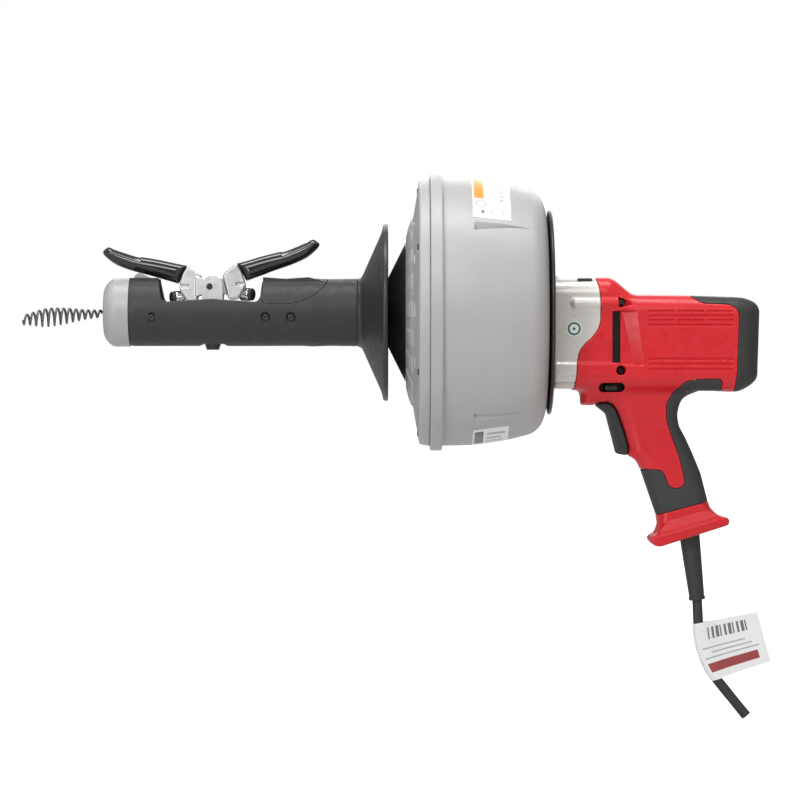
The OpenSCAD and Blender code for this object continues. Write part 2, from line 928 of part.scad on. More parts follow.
module feed_block() {
    color("darkgray") difference() {
        intersection() {
            rod(block_x0, block_x1, grip_bore_r - 0.05);
            block(block_x0 - 1, block_x1 + 1, -40, 40, -40, block_top_z);
        }
        rod(block_x0 - 1, block_x1 + 1, 6.5);
        block(block_x0 - 1, block_x1 + 1, -8, 8, 2, block_top_z + 1);
        idler_at(0, roller_r + 0.6, 0.4);
        idler_at(1, roller_r + 0.6, 0.4);
        translate([72.4, 0, -40]) cylinder(h = 30, r = 3.05);
        for (x = screw_x) for (s = [0, 1]) mirror([0, s, 0]) cross_pin(x, screw_z, -40, -12, 1.55);
        for (y = [-17, 17]) translate([72.6, y, -4]) cylinder(h = 12, r = 1.55);
    }
}

module feed_block_bolt() {
    color("black") translate([72.4, 0, 0]) {
        translate([0, 0, -27.7]) cylinder(h = 17, r = 3);
        translate([0, 0, -32.8]) rotate_extrude() polygon([[0, 0], [5.4, 0], [7.1, 5.1], [0, 5.1]]);
    }
}

module lever_bracket() {
    middle = (bracket_x0 + bracket_x1) / 2;
    half = (bracket_x1 - bracket_x0) / 2;
    color("gainsboro") difference() {
        union() {
            block(bracket_x0, bracket_x1, -21, 21, block_top_z, 9);
            for (s = [0, 1]) mirror([0, s, 0]) {
                block(bracket_x0, bracket_x1, -ear_out, -ear_in, 8, 32 - half);
                cross_pin(middle, 32 - half, -ear_out, -ear_in, half);
            }
        }
        cross_pin(pivot_x, pivot_z, -20, 20, pin_r + run_gap);
        for (y = [-17, 17]) translate([72.6, y, 5]) cylinder(h = 5, r = 1.6);
    }
}

module pivot_pin() {
    color("dimgray") cross_pin(pivot_x, pivot_z, -ear_out - 0.8, ear_out + 0.8, pin_r);
}

module lever_spring() {
    wire = 0.65;
    coil = 3.8;
    color("dimgray") for (s = [-1, 1]) translate([pivot_x, 1.4 * s, pivot_z]) mirror([s < 0 ? 1 : 0, 0, 0]) {
        rotate([90, 0, 0]) rotate_extrude() translate([coil, 0]) circle(r = wire);
        rod(coil, 8, wire - 0.15);
    }
}

// ---- Levers, drawn relative to the pivot for the advance lever at rest ----

casting = [
    [-19.7, 18.5], [-7.6, 10.1], [-11, -12.6], [-19.9, -12.6], [-27.1, -1.2], [-26.1, 3.5],
    [-24.2, 10.9]
];
vinyl = [
    [-19.9, 18.9], [-29.5, 20.8], [-46.3, 24.5], [-63.1, 27], [-74.4, 30.7], [-85.6, 34.5],
    [-89.5, 35.4], [-94.6, 31.2], [-93.5, 27.8], [-88.4, 23.3], [-82.8, 19.4], [-74.4, 16],
    [-65.4, 13.2], [-52, 9.9], [-40.7, 6.5], [-27.5, 2.6], [-24.2, 10.9], [-19.7, 18.5]
];
tang = [
    [-18, 15.5], [-48, 20.5], [-62, 22.8], [-86, 31], [-88, 27.6], [-64, 17.4], [-48, 14], [-18, 8]
];

function shifted(points, dx) = [for (p = points) [p[0] - dx, p[1]]];

// Puts a child at the pivot, with its front end raised by an angle
module raised(angle) {
    translate([pivot_x, 0, pivot_z]) rotate([0, angle, 0]) children();
}

// The roller place of a pressed lever, with the roller's own axis along X
module roller_place(arm) {
    translate([-arm, 0, pressed_z]) skewed(roller_skew, -roller_tilt) children();
}

module lever_casting(reach, knuckle_in, knuckle_out) {
    difference() {
        union() {
            plate(shifted(casting, reach), -8, 8);
            plate(shifted(tang, reach), -2.5, 2.5);
            for (s = [0, 1]) mirror([0, s, 0]) {
                plate([[-11 - reach, 8], [0, 6], [0, -6], [-11 - reach, -8]], knuckle_in, knuckle_out);
                cross_pin(0, 0, knuckle_in, knuckle_out, 6);
            }
        }
        plate(shifted([[-30, 2.2], [-18.4, 1.6], [-18.4, -0.6], [-30, -0.2]], reach), -9, 9);
        cross_pin(0, 0, -20, 20, pin_r + run_gap);
    }
}

// One whole lever in its own frame: pressed_turn is its angle from this frame down to the cable
module lever_body(reach, arm, knuckle_in, knuckle_out, pressed_turn) {
    difference() {
        lever_casting(reach, knuckle_in, knuckle_out);
        rotate([0, pressed_turn, 0]) roller_place(arm) rod(-roller_len, roller_len / 2 + 1, roller_r + 0.6);
    }
    rotate([0, pressed_turn, 0]) roller_place(arm) rod(-roller_len / 2 - cap_len, roller_len / 2 + 6,
        axle_r);
}

module lever_vinyl(reach) {
    difference() {
        plate(shifted(vinyl, reach), -9, 9);
        plate(shifted(tang, reach), -2.5, 2.5);
    }
}

// The retract lever is the advance lever turned end for end and raised by the rest difference
module retract_frame() {
    translate([pivot_x, 0, pivot_z]) rotate([0, -rest_difference, 0]) mirror([1, 0, 0]) children();
}

module advance_lever() {
    color("gainsboro") raised(0) lever_body(0, pressed_arm, 6.3, 9.3, advance_left);
}

module advance_lever_grip() {
    color("black") raised(0) lever_vinyl(0);
}

module retract_lever() {
    color("gainsboro") retract_frame() lever_body(body_reach, pressed_arm + rear_reach, 3.1, 6.1,
        retract_left - rest_difference);
}

module retract_lever_grip() {
    color("black") retract_frame() lever_vinyl(body_reach);
}

module feed_roller() {
    difference() {
        union() {
            rod(-roller_len / 2, roller_len / 2, roller_r);
            rod(-roller_len / 2 - cap_len, -roller_len / 2, cap_r);
        }
        rod(-roller_len, roller_len, axle_r + run_gap);
    }
}

module advance_roller() {
    color("gainsboro") raised(advance_left) roller_place(pressed_arm) feed_roller();
}

module retract_roller() {
    color("gainsboro") retract_frame() rotate([0, retract_left - rest_difference, 0])
        roller_place(pressed_arm + rear_reach) feed_roller();
}

left_motor_shell();
right_motor_shell();
rear_motor_cap();
handle_sleeve();
gearbox_housing();
gearbox_cover();
gearbox_screws();
shell_screws();
rear_guard();
bearing_outer_race();
motor_field();
field_windings();
rotor_bearings();
brush_holders();
carbon_brushes();
gearbox_bushes();
switch_module();
strain_relief();
power_cord();
cord_tag();
drum_front();
drum_rear();
drum_screws();
inner_drum();
cable_coil();
front_cone();
spindle();
output_gear();
bearing_inner_and_balls();
cable_lead();
bulb_auger();
countershaft();
countershaft_gear();
rotor_shaft();
armature_core();
armature_windings();
commutator();
cooling_fan();
left_grip_shell();
right_grip_shell();
grip_top_cover();
nose_cap();
hand_guard();
grip_screws();
grip_bearing();
feed_block();
lever_bracket();
pivot_pin();
feed_block_bolt();
lever_spring();
advance_lever();
advance_lever_grip();
retract_lever();
retract_lever_grip();
advance_roller();
retract_roller();
front_idler();
rear_idler();
trigger();
reverse_switch();
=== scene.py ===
import json
import math

import bpy
import bmesh
import numpy as np
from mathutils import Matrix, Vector


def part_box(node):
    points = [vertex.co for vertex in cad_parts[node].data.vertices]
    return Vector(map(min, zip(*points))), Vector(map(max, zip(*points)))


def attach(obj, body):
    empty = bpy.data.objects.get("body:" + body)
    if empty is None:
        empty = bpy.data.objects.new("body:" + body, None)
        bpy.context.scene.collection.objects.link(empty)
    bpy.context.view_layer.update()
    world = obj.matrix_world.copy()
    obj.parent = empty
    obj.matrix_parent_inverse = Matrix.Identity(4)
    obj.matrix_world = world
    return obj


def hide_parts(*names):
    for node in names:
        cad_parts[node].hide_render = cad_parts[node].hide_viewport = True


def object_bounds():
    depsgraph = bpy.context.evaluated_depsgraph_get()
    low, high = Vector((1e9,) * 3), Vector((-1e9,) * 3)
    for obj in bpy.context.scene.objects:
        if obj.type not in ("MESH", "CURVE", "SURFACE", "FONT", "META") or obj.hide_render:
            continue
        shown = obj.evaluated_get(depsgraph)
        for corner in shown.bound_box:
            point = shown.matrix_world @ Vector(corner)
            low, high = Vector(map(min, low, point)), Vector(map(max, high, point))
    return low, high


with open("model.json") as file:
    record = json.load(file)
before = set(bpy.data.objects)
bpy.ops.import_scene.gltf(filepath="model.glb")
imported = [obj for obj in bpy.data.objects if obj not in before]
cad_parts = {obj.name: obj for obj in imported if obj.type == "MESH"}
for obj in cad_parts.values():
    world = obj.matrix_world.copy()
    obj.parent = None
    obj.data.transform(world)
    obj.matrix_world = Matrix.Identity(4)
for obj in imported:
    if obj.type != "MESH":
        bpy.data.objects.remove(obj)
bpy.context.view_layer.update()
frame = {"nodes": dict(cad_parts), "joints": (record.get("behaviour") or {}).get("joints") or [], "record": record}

# Lengths below are in millimetres, in the frame's own axes, and become metres when a mesh is made.
MM = 0.001
COARSE = 1.0


SIDES = ((-1, "left"), (1, "right"))

# ---- Reading the frame ----

def corners(node):
    """Lowest and highest corner of a CAD node, in millimetres"""
    return [np.array(corner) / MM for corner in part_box(node)]


def solids(node):
    """(low, high) of each separate solid in a CAD node, in millimetres"""
    mesh = frame["nodes"][node].data
    points = np.array([vertex.co for vertex in mesh.vertices]) / MM
    welded, place = np.unique(np.round(points, 2), axis=0, return_inverse=True)
    ends = place.ravel()[np.array(mesh.edge_keys)]
    label = np.arange(len(welded))
    while True:
        lowest = label[ends].min(1)
        before = label.copy()
        np.minimum.at(label, ends[:, 0], lowest)
        np.minimum.at(label, ends[:, 1], lowest)
        if (label == before).all():
            break
    return [(welded[label == one].min(0), welded[label == one].max(0)) for one in np.unique(label)]


def joint(name):
    """A joint's row in the frame"""
    return next(j for j in frame["joints"] if j["name"] == name)


# ---- Outlines ----

def eased(points, reach, closed=True, steps=4):
    """Rounds an outline's corners: reach is the length taken from each side, for all points or for each"""
    points = np.asarray(points, float)
    count = len(points)
    reaches = np.broadcast_to(reach, count)
    done = []
    for i, corner in enumerate(points):
        if not closed and i in (0, count - 1):
            done.append(corner)
            continue
        before, after = points[i - 1] - corner, points[(i + 1) % count] - corner
        room = min(np.linalg.norm(before), np.linalg.norm(after)) * 0.48
        take = min(reaches[i], room)
        if take < 0.01:
            done.append(corner)
            continue
        start = corner + before / np.linalg.norm(before) * take
        end = corner + after / np.linalg.norm(after) * take
        for t in np.linspace(0, 1, steps + 1):
            done.append((1 - t) ** 2 * start + 2 * t * (1 - t) * corner + t ** 2 * end)
    return np.array(done)


def stepped(points, longest, closed=True):
    """Adds points so that no stretch of an outline is longer than a limit"""
    points = np.asarray(points, float)
    done = []
    last = len(points) if closed else len(points) - 1
    for i in range(last):
        a, b = points[i], points[(i + 1) % len(points)]
        parts = max(1, math.ceil(np.linalg.norm(b - a) / longest))
        done += [a + (b - a) * k / parts for k in range(parts)]
    if not closed:
        done.append(points[-1])
    return np.array(done)


def rounded_profile(rows, longest, steps=4):
    """A closed profile from (height, radius, reach of the rounding there)"""
    rows = np.array(rows, float)
    return stepped(eased(rows[:, :2], rows[:, 2], steps=steps), longest)


class Outline:
    """Signed distance to a closed XZ outline, negative inside, kept on a grid and read between its points"""

    def __init__(self, points, reach=0, margin=14, step=0.5):
        points = eased(points, reach) if reach else np.asarray(points, float)
        self.low = points.min(0) - margin
        self.step = step
        size = np.ceil((points.max(0) + margin - self.low) / step).astype(int) + 1
        x = self.low[0] + step * np.arange(size[0])[:, None]
        z = self.low[1] + step * np.arange(size[1])[None, :]
        nearest = np.full(size, 1e9)
        inside = np.zeros(size, bool)
        for a, b in zip(points, np.roll(points, -1, 0)):
            along = b - a
            if (along @ along) < 1e-12:
                continue
            t = np.clip(((x - a[0]) * along[0] + (z - a[1]) * along[1]) / (along @ along), 0, 1)
            nearest = np.minimum(nearest, (x - a[0] - t * along[0]) ** 2 + (z - a[1] - t * along[1]) ** 2)
            if a[1] != b[1]:
                crossing = a[0] + (z - a[1]) / along[1] * along[0]
                inside ^= ((a[1] > z) != (b[1] > z)) & (x < crossing)
        self.grid = np.sqrt(nearest) * np.where(inside, -1, 1)

    def __call__(self, x, z):
        u = np.clip((x - self.low[0]) / self.step, 0, self.grid.shape[0] - 1.001)
        v = np.clip((z - self.low[1]) / self.step, 0, self.grid.shape[1] - 1.001)
        i, j = u.astype(int), v.astype(int)
        u, v = u - i, v - j
        g = self.grid
        near = g[i, j] * (1 - u) + g[i + 1, j] * u
        far = g[i, j + 1] * (1 - u) + g[i + 1, j + 1] * u
        return near * (1 - v) + far * v


# ---- Solid fields: negative inside a solid, in millimetres ----

def smooth_min(a, b, k):
    """Joins two solids with a blend k wide"""
    h = np.clip(0.5 + 0.5 * (b - a) / k, 0, 1)
    return b + (a - b) * h - k * h * (1 - h)


def smooth_max(a, b, k):
    return -smooth_min(-a, -b, k)


def rounded_plate(distance, y, half, radius):
    """A plate of an outline, half each side of y = 0, with its edges rounded"""
    across = distance + radius
    beside = np.abs(y) - half + radius
    outside = np.hypot(np.maximum(across, 0), np.maximum(beside, 0))
    return np.minimum(np.maximum(across, beside), 0) + outside - radius


def rounded_box(x, y, z, low, high, radius):
    sides = [np.abs(p - (a + b) / 2) - (b - a) / 2 + radius for p, a, b in zip((x, y, z), low, high)]
    outside = np.sqrt(sum(np.maximum(s, 0) ** 2 for s in sides))
    return np.minimum(np.maximum(np.maximum(sides[0], sides[1]), sides[2]), 0) + outside - radius


def smoothstep(low, high, value):
    t = np.clip((value - low) / (high - low), 0, 1)
    return t * t * (3 - 2 * t)


# ---- Meshes ----

CELL = np.array([(i, j, k) for i in (0, 1) for j in (0, 1) for k in (0, 1)])
CELL_EDGES = [(a, b) for a in range(8) for b in range(a + 1, 8) if np.abs(CELL[a] - CELL[b]).sum() == 1]


def net(field, low, high, step):
    """Points and quads where a field is zero: one point for each grid cell that the surface crosses"""
    axes = [np.arange(a - step, b + 2 * step, step) for a, b in zip(low, high)]
    shape = tuple(len(a) for a in axes)
    value = field(axes[0][:, None, None], axes[1][None, :, None], axes[2][None, None, :])
    value = np.ascontiguousarray(np.broadcast_to(value, shape))
    inside = value < 0
    cells_shape = tuple(n - 1 for n in shape)
    held = np.zeros(cells_shape, np.int8)
    for i, j, k in CELL:
        held += inside[i:i + cells_shape[0], j:j + cells_shape[1], k:k + cells_shape[2]]
    cells = np.argwhere((held > 0) & (held < 8))
    number = np.full(cells_shape, -1, np.int64)
    number[tuple(cells.T)] = np.arange(len(cells))
    corner = np.stack([value[tuple((cells + c).T)] for c in CELL], 1)
    total = np.zeros((len(cells), 3))
    hits = np.zeros(len(cells))
    for a, b in CELL_EDGES:
        crossed = (corner[:, a] < 0) != (corner[:, b] < 0)
        t = corner[:, a] / np.where(crossed, corner[:, a] - corner[:, b], 1)
        total += np.where(crossed[:, None], CELL[a] + t[:, None] * (CELL[b] - CELL[a]), 0)
        hits += crossed
    points = (cells + total / hits[:, None]) * step + [a[0] for a in axes]
    quads = []
    for axis in range(3):
        unit = np.eye(3, dtype=int)
        u, v = unit[(axis + 1) % 3], unit[(axis + 2) % 3]
        start = np.moveaxis(inside, axis, 0)
        start, end = np.moveaxis(start[:-1], 0, axis), np.moveaxis(start[1:], 0, axis)
        edges = np.argwhere(start != end)
        around = [number[tuple((edges + a * u + b * v).T)] for a, b in ((-1, -1), (0, -1), (0, 0), (-1, 0))]
        around = np.stack(around, 1)
        outward = start[tuple(edges.T)]
        quads.append(np.where(outward[:, None], around, around[:, ::-1]))
    return points, np.concatenate(quads)


def slope(field, points, reach):
    """A field's slope along X, Y and Z at each point"""
    steps = np.eye(3) * reach
    return np.stack([field(*(points + s).T) - field(*(points - s).T) for s in steps], 1) / (2 * reach)


def settle(field, points, reach, rounds=2):
    """Moves points along a field's slope on to its surface"""
    for _ in range(rounds):
        g = slope(field, points, reach)
        move = field(*points.T)[:, None] * g / np.maximum((g * g).sum(1), 0.3)[:, None]
        points = points - np.clip(move, -2 * reach, 2 * reach)
    return points


def evened(points, quads):
    """Moves each point half way to the middle of its neighbours"""
    total = np.zeros_like(points)
    hits = np.zeros(len(points))
    for k in range(4):
        a, b = quads[:, k], quads[:, (k + 1) % 4]
        np.add.at(total, a, points[b])
        np.add.at(total, b, points[a])
        np.add.at(hits, a, 1)
        np.add.at(hits, b, 1)
    return points + 0.5 * (total / hits[:, None] - points)


def piece(name, points, faces, sharp=35):
    """Makes a closed mesh object from points in millimetres, with its faces turned outwards"""
    points = np.asarray(points, float)
    faces = [tuple(f) for f in (faces.tolist() if isinstance(faces, np.ndarray) else faces)]
    first = np.array([f[:3] for f in faces])
    last = np.array([(f[0], f[2], f[-1]) for f in faces])
    volume = 0
    for three in (first, last[[len(f) > 3 for f in faces]]):
        if len(three):
            a, b, c = points[three[:, 0]], points[three[:, 1]], points[three[:, 2]]
            volume += (a * np.cross(b, c)).sum()
    if volume < 0:
        faces = [f[::-1] for f in faces]
    mesh = bpy.data.meshes.new(name)
    mesh.from_pydata((points * MM).tolist(), [], faces)
    mesh.update()
    mesh.polygons.foreach_set("use_smooth", np.ones(len(faces), bool))
    if sharp:
        mesh.set_sharp_from_angle(angle=math.radians(sharp))
    made = bpy.data.objects.new(name, mesh)
    bpy.context.scene.collection.objects.link(made)
    return made


def skin(name, field, low, high, step, fine=None, place=None):
    """The surface of a field as an object. fine(points) says where its quads are split once more, and place
    moves the finished points."""
    step *= COARSE
    points, quads = net(field, low, high, step)
    points = settle(field, evened(points, quads), step / 3)
    points = settle(field, evened(points, quads), step / 4)
    if fine is not None:
        points, quads = split(points, quads, fine)
        points = settle(field, points, step / 6, 3)
    normals = slope(field, points, 0.12)
    normals /= np.maximum(np.linalg.norm(normals, axis=1), 1e-6)[:, None]
    if place is not None:
        heads = place(points + normals)
        points = place(points)
        normals = heads - points
    made = piece(name, points, quads, sharp=None)
    made.data.normals_split_custom_set_from_vertices(normals.tolist())
    return made


def split(points, quads, fine):
    """Splits the quads whose corners are all inside a region"""
    mesh = bpy.data.meshes.new("split")
    mesh.from_pydata(points.tolist(), [], quads.tolist())
    work = bmesh.new()
    work.from_mesh(mesh)
    chosen = fine(points)
    edges = [e for e in work.edges if chosen[e.verts[0].index] and chosen[e.verts[1].index]]
    bmesh.ops.subdivide_edges(work, edges=edges, cuts=1, use_grid_fill=True)
    bmesh.ops.triangulate(work, faces=[f for f in work.faces if len(f.verts) > 4])
    work.verts.index_update()
    points = np.array([v.co[:] for v in work.verts])
    faces = [tuple(v.index for v in f.verts) for f in work.faces]
    work.free()
    bpy.data.meshes.remove(mesh)
    return points, faces


def tube(rings, count, looped):
    """Faces between rings of count points. If it isn't looped, two points after the rings close its ends."""
    ring = np.arange(rings * count).reshape(rings, count)
    a, b = (ring, np.roll(ring, -1, 0)) if looped else (ring[:-1], ring[1:])
    faces = np.stack([a, b, np.roll(b, -1, 1), np.roll(a, -1, 1)], -1).reshape(-1, 4).tolist()
    if not looped:
        start, last = rings * count, (rings - 1) * count
        for k in range(count):
            faces.append((start, k, (k + 1) % count))
            faces.append((start + 1, last + (k + 1) % count, last + k))
    return faces


def turn(name, profile, at=(0, 0, 0), axis=(1, 0, 0), segments=96, shape=None, closed=True, sharp=35):
    """Turns a profile of (height, radius) points round an axis. A closed profile keeps off the axis, and an
    open one starts and ends on it. segments is a count or a list of angles, and shape(height, radius, angle)
    returns the three moved."""
    profile = np.asarray(profile, float)
    angles = np.arange(segments) * 2 * np.pi / segments if np.isscalar(segments) else np.asarray(segments)
    count = len(angles)
    w = np.array(axis, float) / np.linalg.norm(axis)
    v = np.array((0, 0, 1.0)) if abs(w[2]) < 0.9 else np.array((1.0, 0, 0))
    v = v - (v @ w) * w
    v /= np.linalg.norm(v)
    u = np.cross(v, w)
    rings = profile if closed else profile[1:-1]
    height, radius = (np.repeat(rings[:, k, None], count, 1) for k in (0, 1))
    angle = np.repeat(angles[None, :], len(rings), 0)
    if shape is not None:
        height, radius, angle = shape(height, radius, angle)
    across = np.cos(angle)[..., None] * u + np.sin(angle)[..., None] * v
    points = np.array(at, float) + height[..., None] * w + radius[..., None] * across
    points = points.reshape(-1, 3)
    if not closed:
        ends = [np.array(at) + profile[k, 0] * w for k in (0, -1)]
        points = np.concatenate([points, ends])
    return piece(name, points, tube(len(rings), count, closed), sharp)


def sweep(name, path, radii, sides):
    """A round rod along a path, with flat ends"""
    path = np.asarray(path, float)
    radii = np.broadcast_to(radii, len(path))
    along = np.gradient(path, axis=0)
    along /= np.linalg.norm(along, axis=1)[:, None]
    side = np.cross(along[0], (0.3, 1, 0.2))
    angles = np.arange(sides) * 2 * np.pi / sides
    points = []
    for p, t, r in zip(path, along, radii):
        side = side - (side @ t) * t
        side /= np.linalg.norm(side)
        other = np.cross(t, side)
        points.append(p + r * (np.cos(angles)[:, None] * side + np.sin(angles)[:, None] * other))
    points = np.concatenate([*points, path[[0, -1]]])
    return piece(name, points, tube(len(path), sides, False), sharp=40)


def sheet(name, surface, columns, rows, thickness, spot=None):
    """A thin closed sheet over surface(u, v) with u and v from 0 to 1. Its print is placed by u and v, or by
    spot(u, v)."""
    u, v = np.meshgrid(np.linspace(0, 1, columns + 1), np.linspace(0, 1, rows + 1), indexing="ij")
    middle = surface(u, v)
    normal = np.cross(np.gradient(middle, axis=0), np.gradient(middle, axis=1))
    normal /= np.linalg.norm(normal, axis=2)[..., None]
    size = u.size
    points = np.concatenate([(middle + s * normal * thickness / 2).reshape(-1, 3) for s in (1, -1)])
    grid = np.arange(size).reshape(u.shape)
    top = np.stack([grid[:-1, :-1], grid[1:, :-1], grid[1:, 1:], grid[:-1, 1:]], -1).reshape(-1, 4)
    rim = np.concatenate([grid[:-1, 0], grid[-1, :-1], grid[:0:-1, -1], grid[0, :0:-1]])
    beside = np.roll(rim, -1)
    wall = np.stack([rim, rim + size, beside + size, beside], -1)
    made = piece(name, points, np.concatenate([top, top[:, ::-1] + size, wall]))
    place = made.data.attributes.new("print", "FLOAT_VECTOR", "POINT")
    across, up = spot(u, v) if spot else (u, v)
    values = np.stack([across, up, np.zeros_like(u)], -1).reshape(-1, 3)
    place.data.foreach_set("vector", np.concatenate([values, values]).astype(np.float32).ravel())
    return made


# ---- Materials ----

def add(tree, kind, inputs=None, **settings):
    """Adds a shader node. An input is a value, or another node's output."""
    made = tree.nodes.new("ShaderNode" + kind)
    for key, value in settings.items():
        setattr(made, key, value)
    for key, value in (inputs or {}).items():
        if isinstance(value, bpy.types.NodeSocket):
            tree.links.new(value, made.inputs[key])
        else:
            made.inputs[key].default_value = value
    return made


def noise(tree, place, size, detail=3, stretch=None):
    """A noise whose grains are about size millimetres across, stretched along an axis if asked"""
    if stretch is not None:
        place = add(tree, "Mapping", {"Vector": place, "Scale": stretch}).outputs[0]
    scale = 1 / (size * MM)
    return add(tree, "TexNoise", {"Vector": place, "Scale": scale, "Detail": detail}).outputs["Fac"]


def ranged(tree, value, low, high, from_low=0.3, from_high=0.7):
    limits = {"Value": value, "From Min": from_low, "From Max": from_high, "To Min": low, "To Max": high}
    return add(tree, "MapRange", limits).outputs[0]


def mixed(tree, share, a, b):
    """Colour b over colour a"""
    return add(tree, "Mix", {0: share, 6: a, 7: b}, data_type="RGBA").outputs[2]


def worked(tree, operation, *values):
    """The output of a maths node"""
    return add(tree, "Math", dict(enumerate(values)), operation=operation).outputs[0]


def shade(colour, factor):
    return (*[min(1, c * factor) for c in colour], 1)


def finish(name, colour, rough, grain, depth, metal=0, mottle=0.06, wear=1.25, spread=0.08, stretch=None,
           coat=0, specular=0.5, prints=()):
    """A procedural material. grain is the size of its surface grain and depth its height, in millimetres;
    mottle is how far its colour varies, wear how much lighter its edges are, and spread how far its roughness
    varies."""
    made = bpy.data.materials.new(name)
    made.use_nodes = True
    made.diffuse_color = shade(colour, 1)
    tree = made.node_tree
    surface = tree.nodes["Principled BSDF"]
    place = add(tree, "TexCoord").outputs["Object"]
    broad = noise(tree, place, 34)
    tint = mixed(tree, ranged(tree, broad, 0, 1), shade(colour, 1 - mottle), shade(colour, 1 + mottle))
    edge = add(tree, "NewGeometry").outputs["Pointiness"]
    scuffs = noise(tree, place, 2.5, 5)
    worn = ranged(tree, edge, 0, 1, 0.515, 0.56)
    worn = worked(tree, "MULTIPLY", worn, scuffs)
    tint = mixed(tree, worn, tint, shade(colour, wear))
    if prints:
        tint = printed(tree, tint, prints)
    uneven = noise(tree, place, 6, 4, stretch)
    roughness = ranged(tree, uneven, max(0.03, rough - spread), rough + spread)
    fine = noise(tree, place, grain, 2, stretch)
    bump = add(tree, "Bump", {"Height": fine, "Strength": 0.6, "Distance": depth * MM * 4})
    wide = noise(tree, place, 14, 1)
    bump = {"Height": wide, "Strength": 0.25, "Distance": 0.0003, "Normal": bump.outputs[0]}
    bump = add(tree, "Bump", bump)
    for key, value in {"Base Color": tint, "Roughness": roughness, "Normal": bump.outputs[0]}.items():
        tree.links.new(value, surface.inputs[key])
    surface.inputs["Metallic"].default_value = metal
    surface.inputs["Coat Weight"].default_value = coat
    surface.inputs["Coat Roughness"].default_value = 0.08
    surface.inputs["Specular IOR Level"].default_value = specular
    return made


def printed(tree, tint, prints):
    """Prints plain bars and rings over a sheet: each is ("bar", u0, v0, u1, v1, colour) or
    ("ring", u, v, inner, outer, colour, aspect)"""
    spot = add(tree, "Attribute", attribute_name="print").outputs["Vector"]
    axes = add(tree, "SeparateXYZ", {0: spot}).outputs

    def within(value, low, high):
        away = worked(tree, "ABSOLUTE", worked(tree, "SUBTRACT", value, (low + high) / 2))
        return worked(tree, "LESS_THAN", away, (high - low) / 2)

    for mark in prints:
        if mark[0] == "bar":
            across, down = within(axes[0], mark[1], mark[3]), within(axes[1], mark[2], mark[4])
            share = worked(tree, "MULTIPLY", across, down)
        else:
            size = {"Vector": spot, "Location": (-mark[1], -mark[2] * mark[6], 0), "Scale": (1, mark[6], 1)}
            moved = add(tree, "Mapping", size).outputs[0]
            span = add(tree, "VectorMath", {0: moved}, operation="LENGTH").outputs["Value"]
            share = within(span, mark[3], mark[4])
        tint = mixed(tree, share, tint, (*mark[5], 1))
    return tint


PAPER = (0.88, 0.88, 0.87)
INK = (0.16, 0.17, 0.18)
PALE_INK = (0.45, 0.46, 0.47)
ORANGE = (0.85, 0.36, 0.06)
GREEN = (0.03, 0.16, 0.12)

# Colour, roughness, and the size and height of the grain in millimetres, then what else sets it apart
FINISHES = {
    "red_plastic": ((0.66, 0.012, 0.02), 0.34, 0.35, 0.012, dict(mottle=0.04, wear=1.3)),
    "charcoal_plastic": ((0.038, 0.037, 0.036), 0.5, 0.3, 0.018, dict(wear=1.8, specular=0.35)),
    "grip_rubber": ((0.042, 0.042, 0.043), 0.6, 0.45, 0.04, dict(wear=1.4, specular=0.4)),
    "champagne_paint": ((0.74, 0.715, 0.67), 0.34, 0.6, 0.014, dict(metal=0.3, mottle=0.05)),
    "cast_alloy": ((0.62, 0.62, 0.61), 0.38, 0.7, 0.05, dict(metal=0.85, mottle=0.08)),
    "dark_steel": ((0.05, 0.05, 0.053), 0.34, 0.3, 0.01, dict(metal=0.8, wear=3)),
    "black_plastic": ((0.028, 0.028, 0.028), 0.36, 0.4, 0.014, dict(wear=2)),
    "bright_steel": ((0.6, 0.61, 0.63), 0.26, 0.25, 0.01, dict(metal=1)),
    "lamination_steel": ((0.3, 0.31, 0.33), 0.4, 0.7, 0.05, dict(metal=0.9, stretch=(8, 0.3, 0.3))),
    "copper": ((0.55, 0.22, 0.1), 0.3, 0.8, 0.08, dict(metal=0.9, stretch=(1, 0.2, 1))),
    "brass": ((0.7, 0.5, 0.22), 0.3, 0.3, 0.01, dict(metal=1)),
    "carbon": ((0.03, 0.03, 0.03), 0.55, 0.3, 0.02, {}),
    "black_rubber": ((0.03, 0.03, 0.031), 0.5, 0.5, 0.03, dict(wear=1.8)),
    "tag_paper": ((0.8, 0.79, 0.77), 0.45, 0.2, 0.01, dict(mottle=0.02, wear=1.1)),
    "drum_grey": ((0.46, 0.452, 0.445), 0.4, 0.35, 0.01, dict(mottle=0.025, wear=1.15)),
    "inner_grey": ((0.33, 0.33, 0.33), 0.5, 0.5, 0.02, {}),
    "cable_steel": ((0.16, 0.155, 0.15), 0.33, 0.4, 0.03, dict(metal=0.9, mottle=0.2)),
    "nose_grey": ((0.42, 0.418, 0.414), 0.36, 0.4, 0.012, dict(mottle=0.03, wear=1.2)),
    "black_vinyl": ((0.012, 0.012, 0.013), 0.13, 1.2, 0.006, dict(coat=0.6, spread=0.04)),
    "chrome_steel": ((0.78, 0.78, 0.79), 0.1, 0.3, 0.003, dict(metal=1, spread=0.04)),
}
MATERIALS = {slot: finish(slot, *values, **more) for slot, (*values, more) in FINISHES.items()}
NODE_SLOT = {part["node"]: part["material_slot"] for part in frame["record"]["subparts"]}


def dress(made, body, slot, *nodes, material=None):
    """Gives a piece its material and its body, and the CAD nodes that it stands for"""
    made.data.materials.append(material or MATERIALS[slot])
    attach(made, body)
    if nodes:
        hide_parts(*nodes)
    return made


# ---- Motor unit: one skin, cut into its mouldings ----

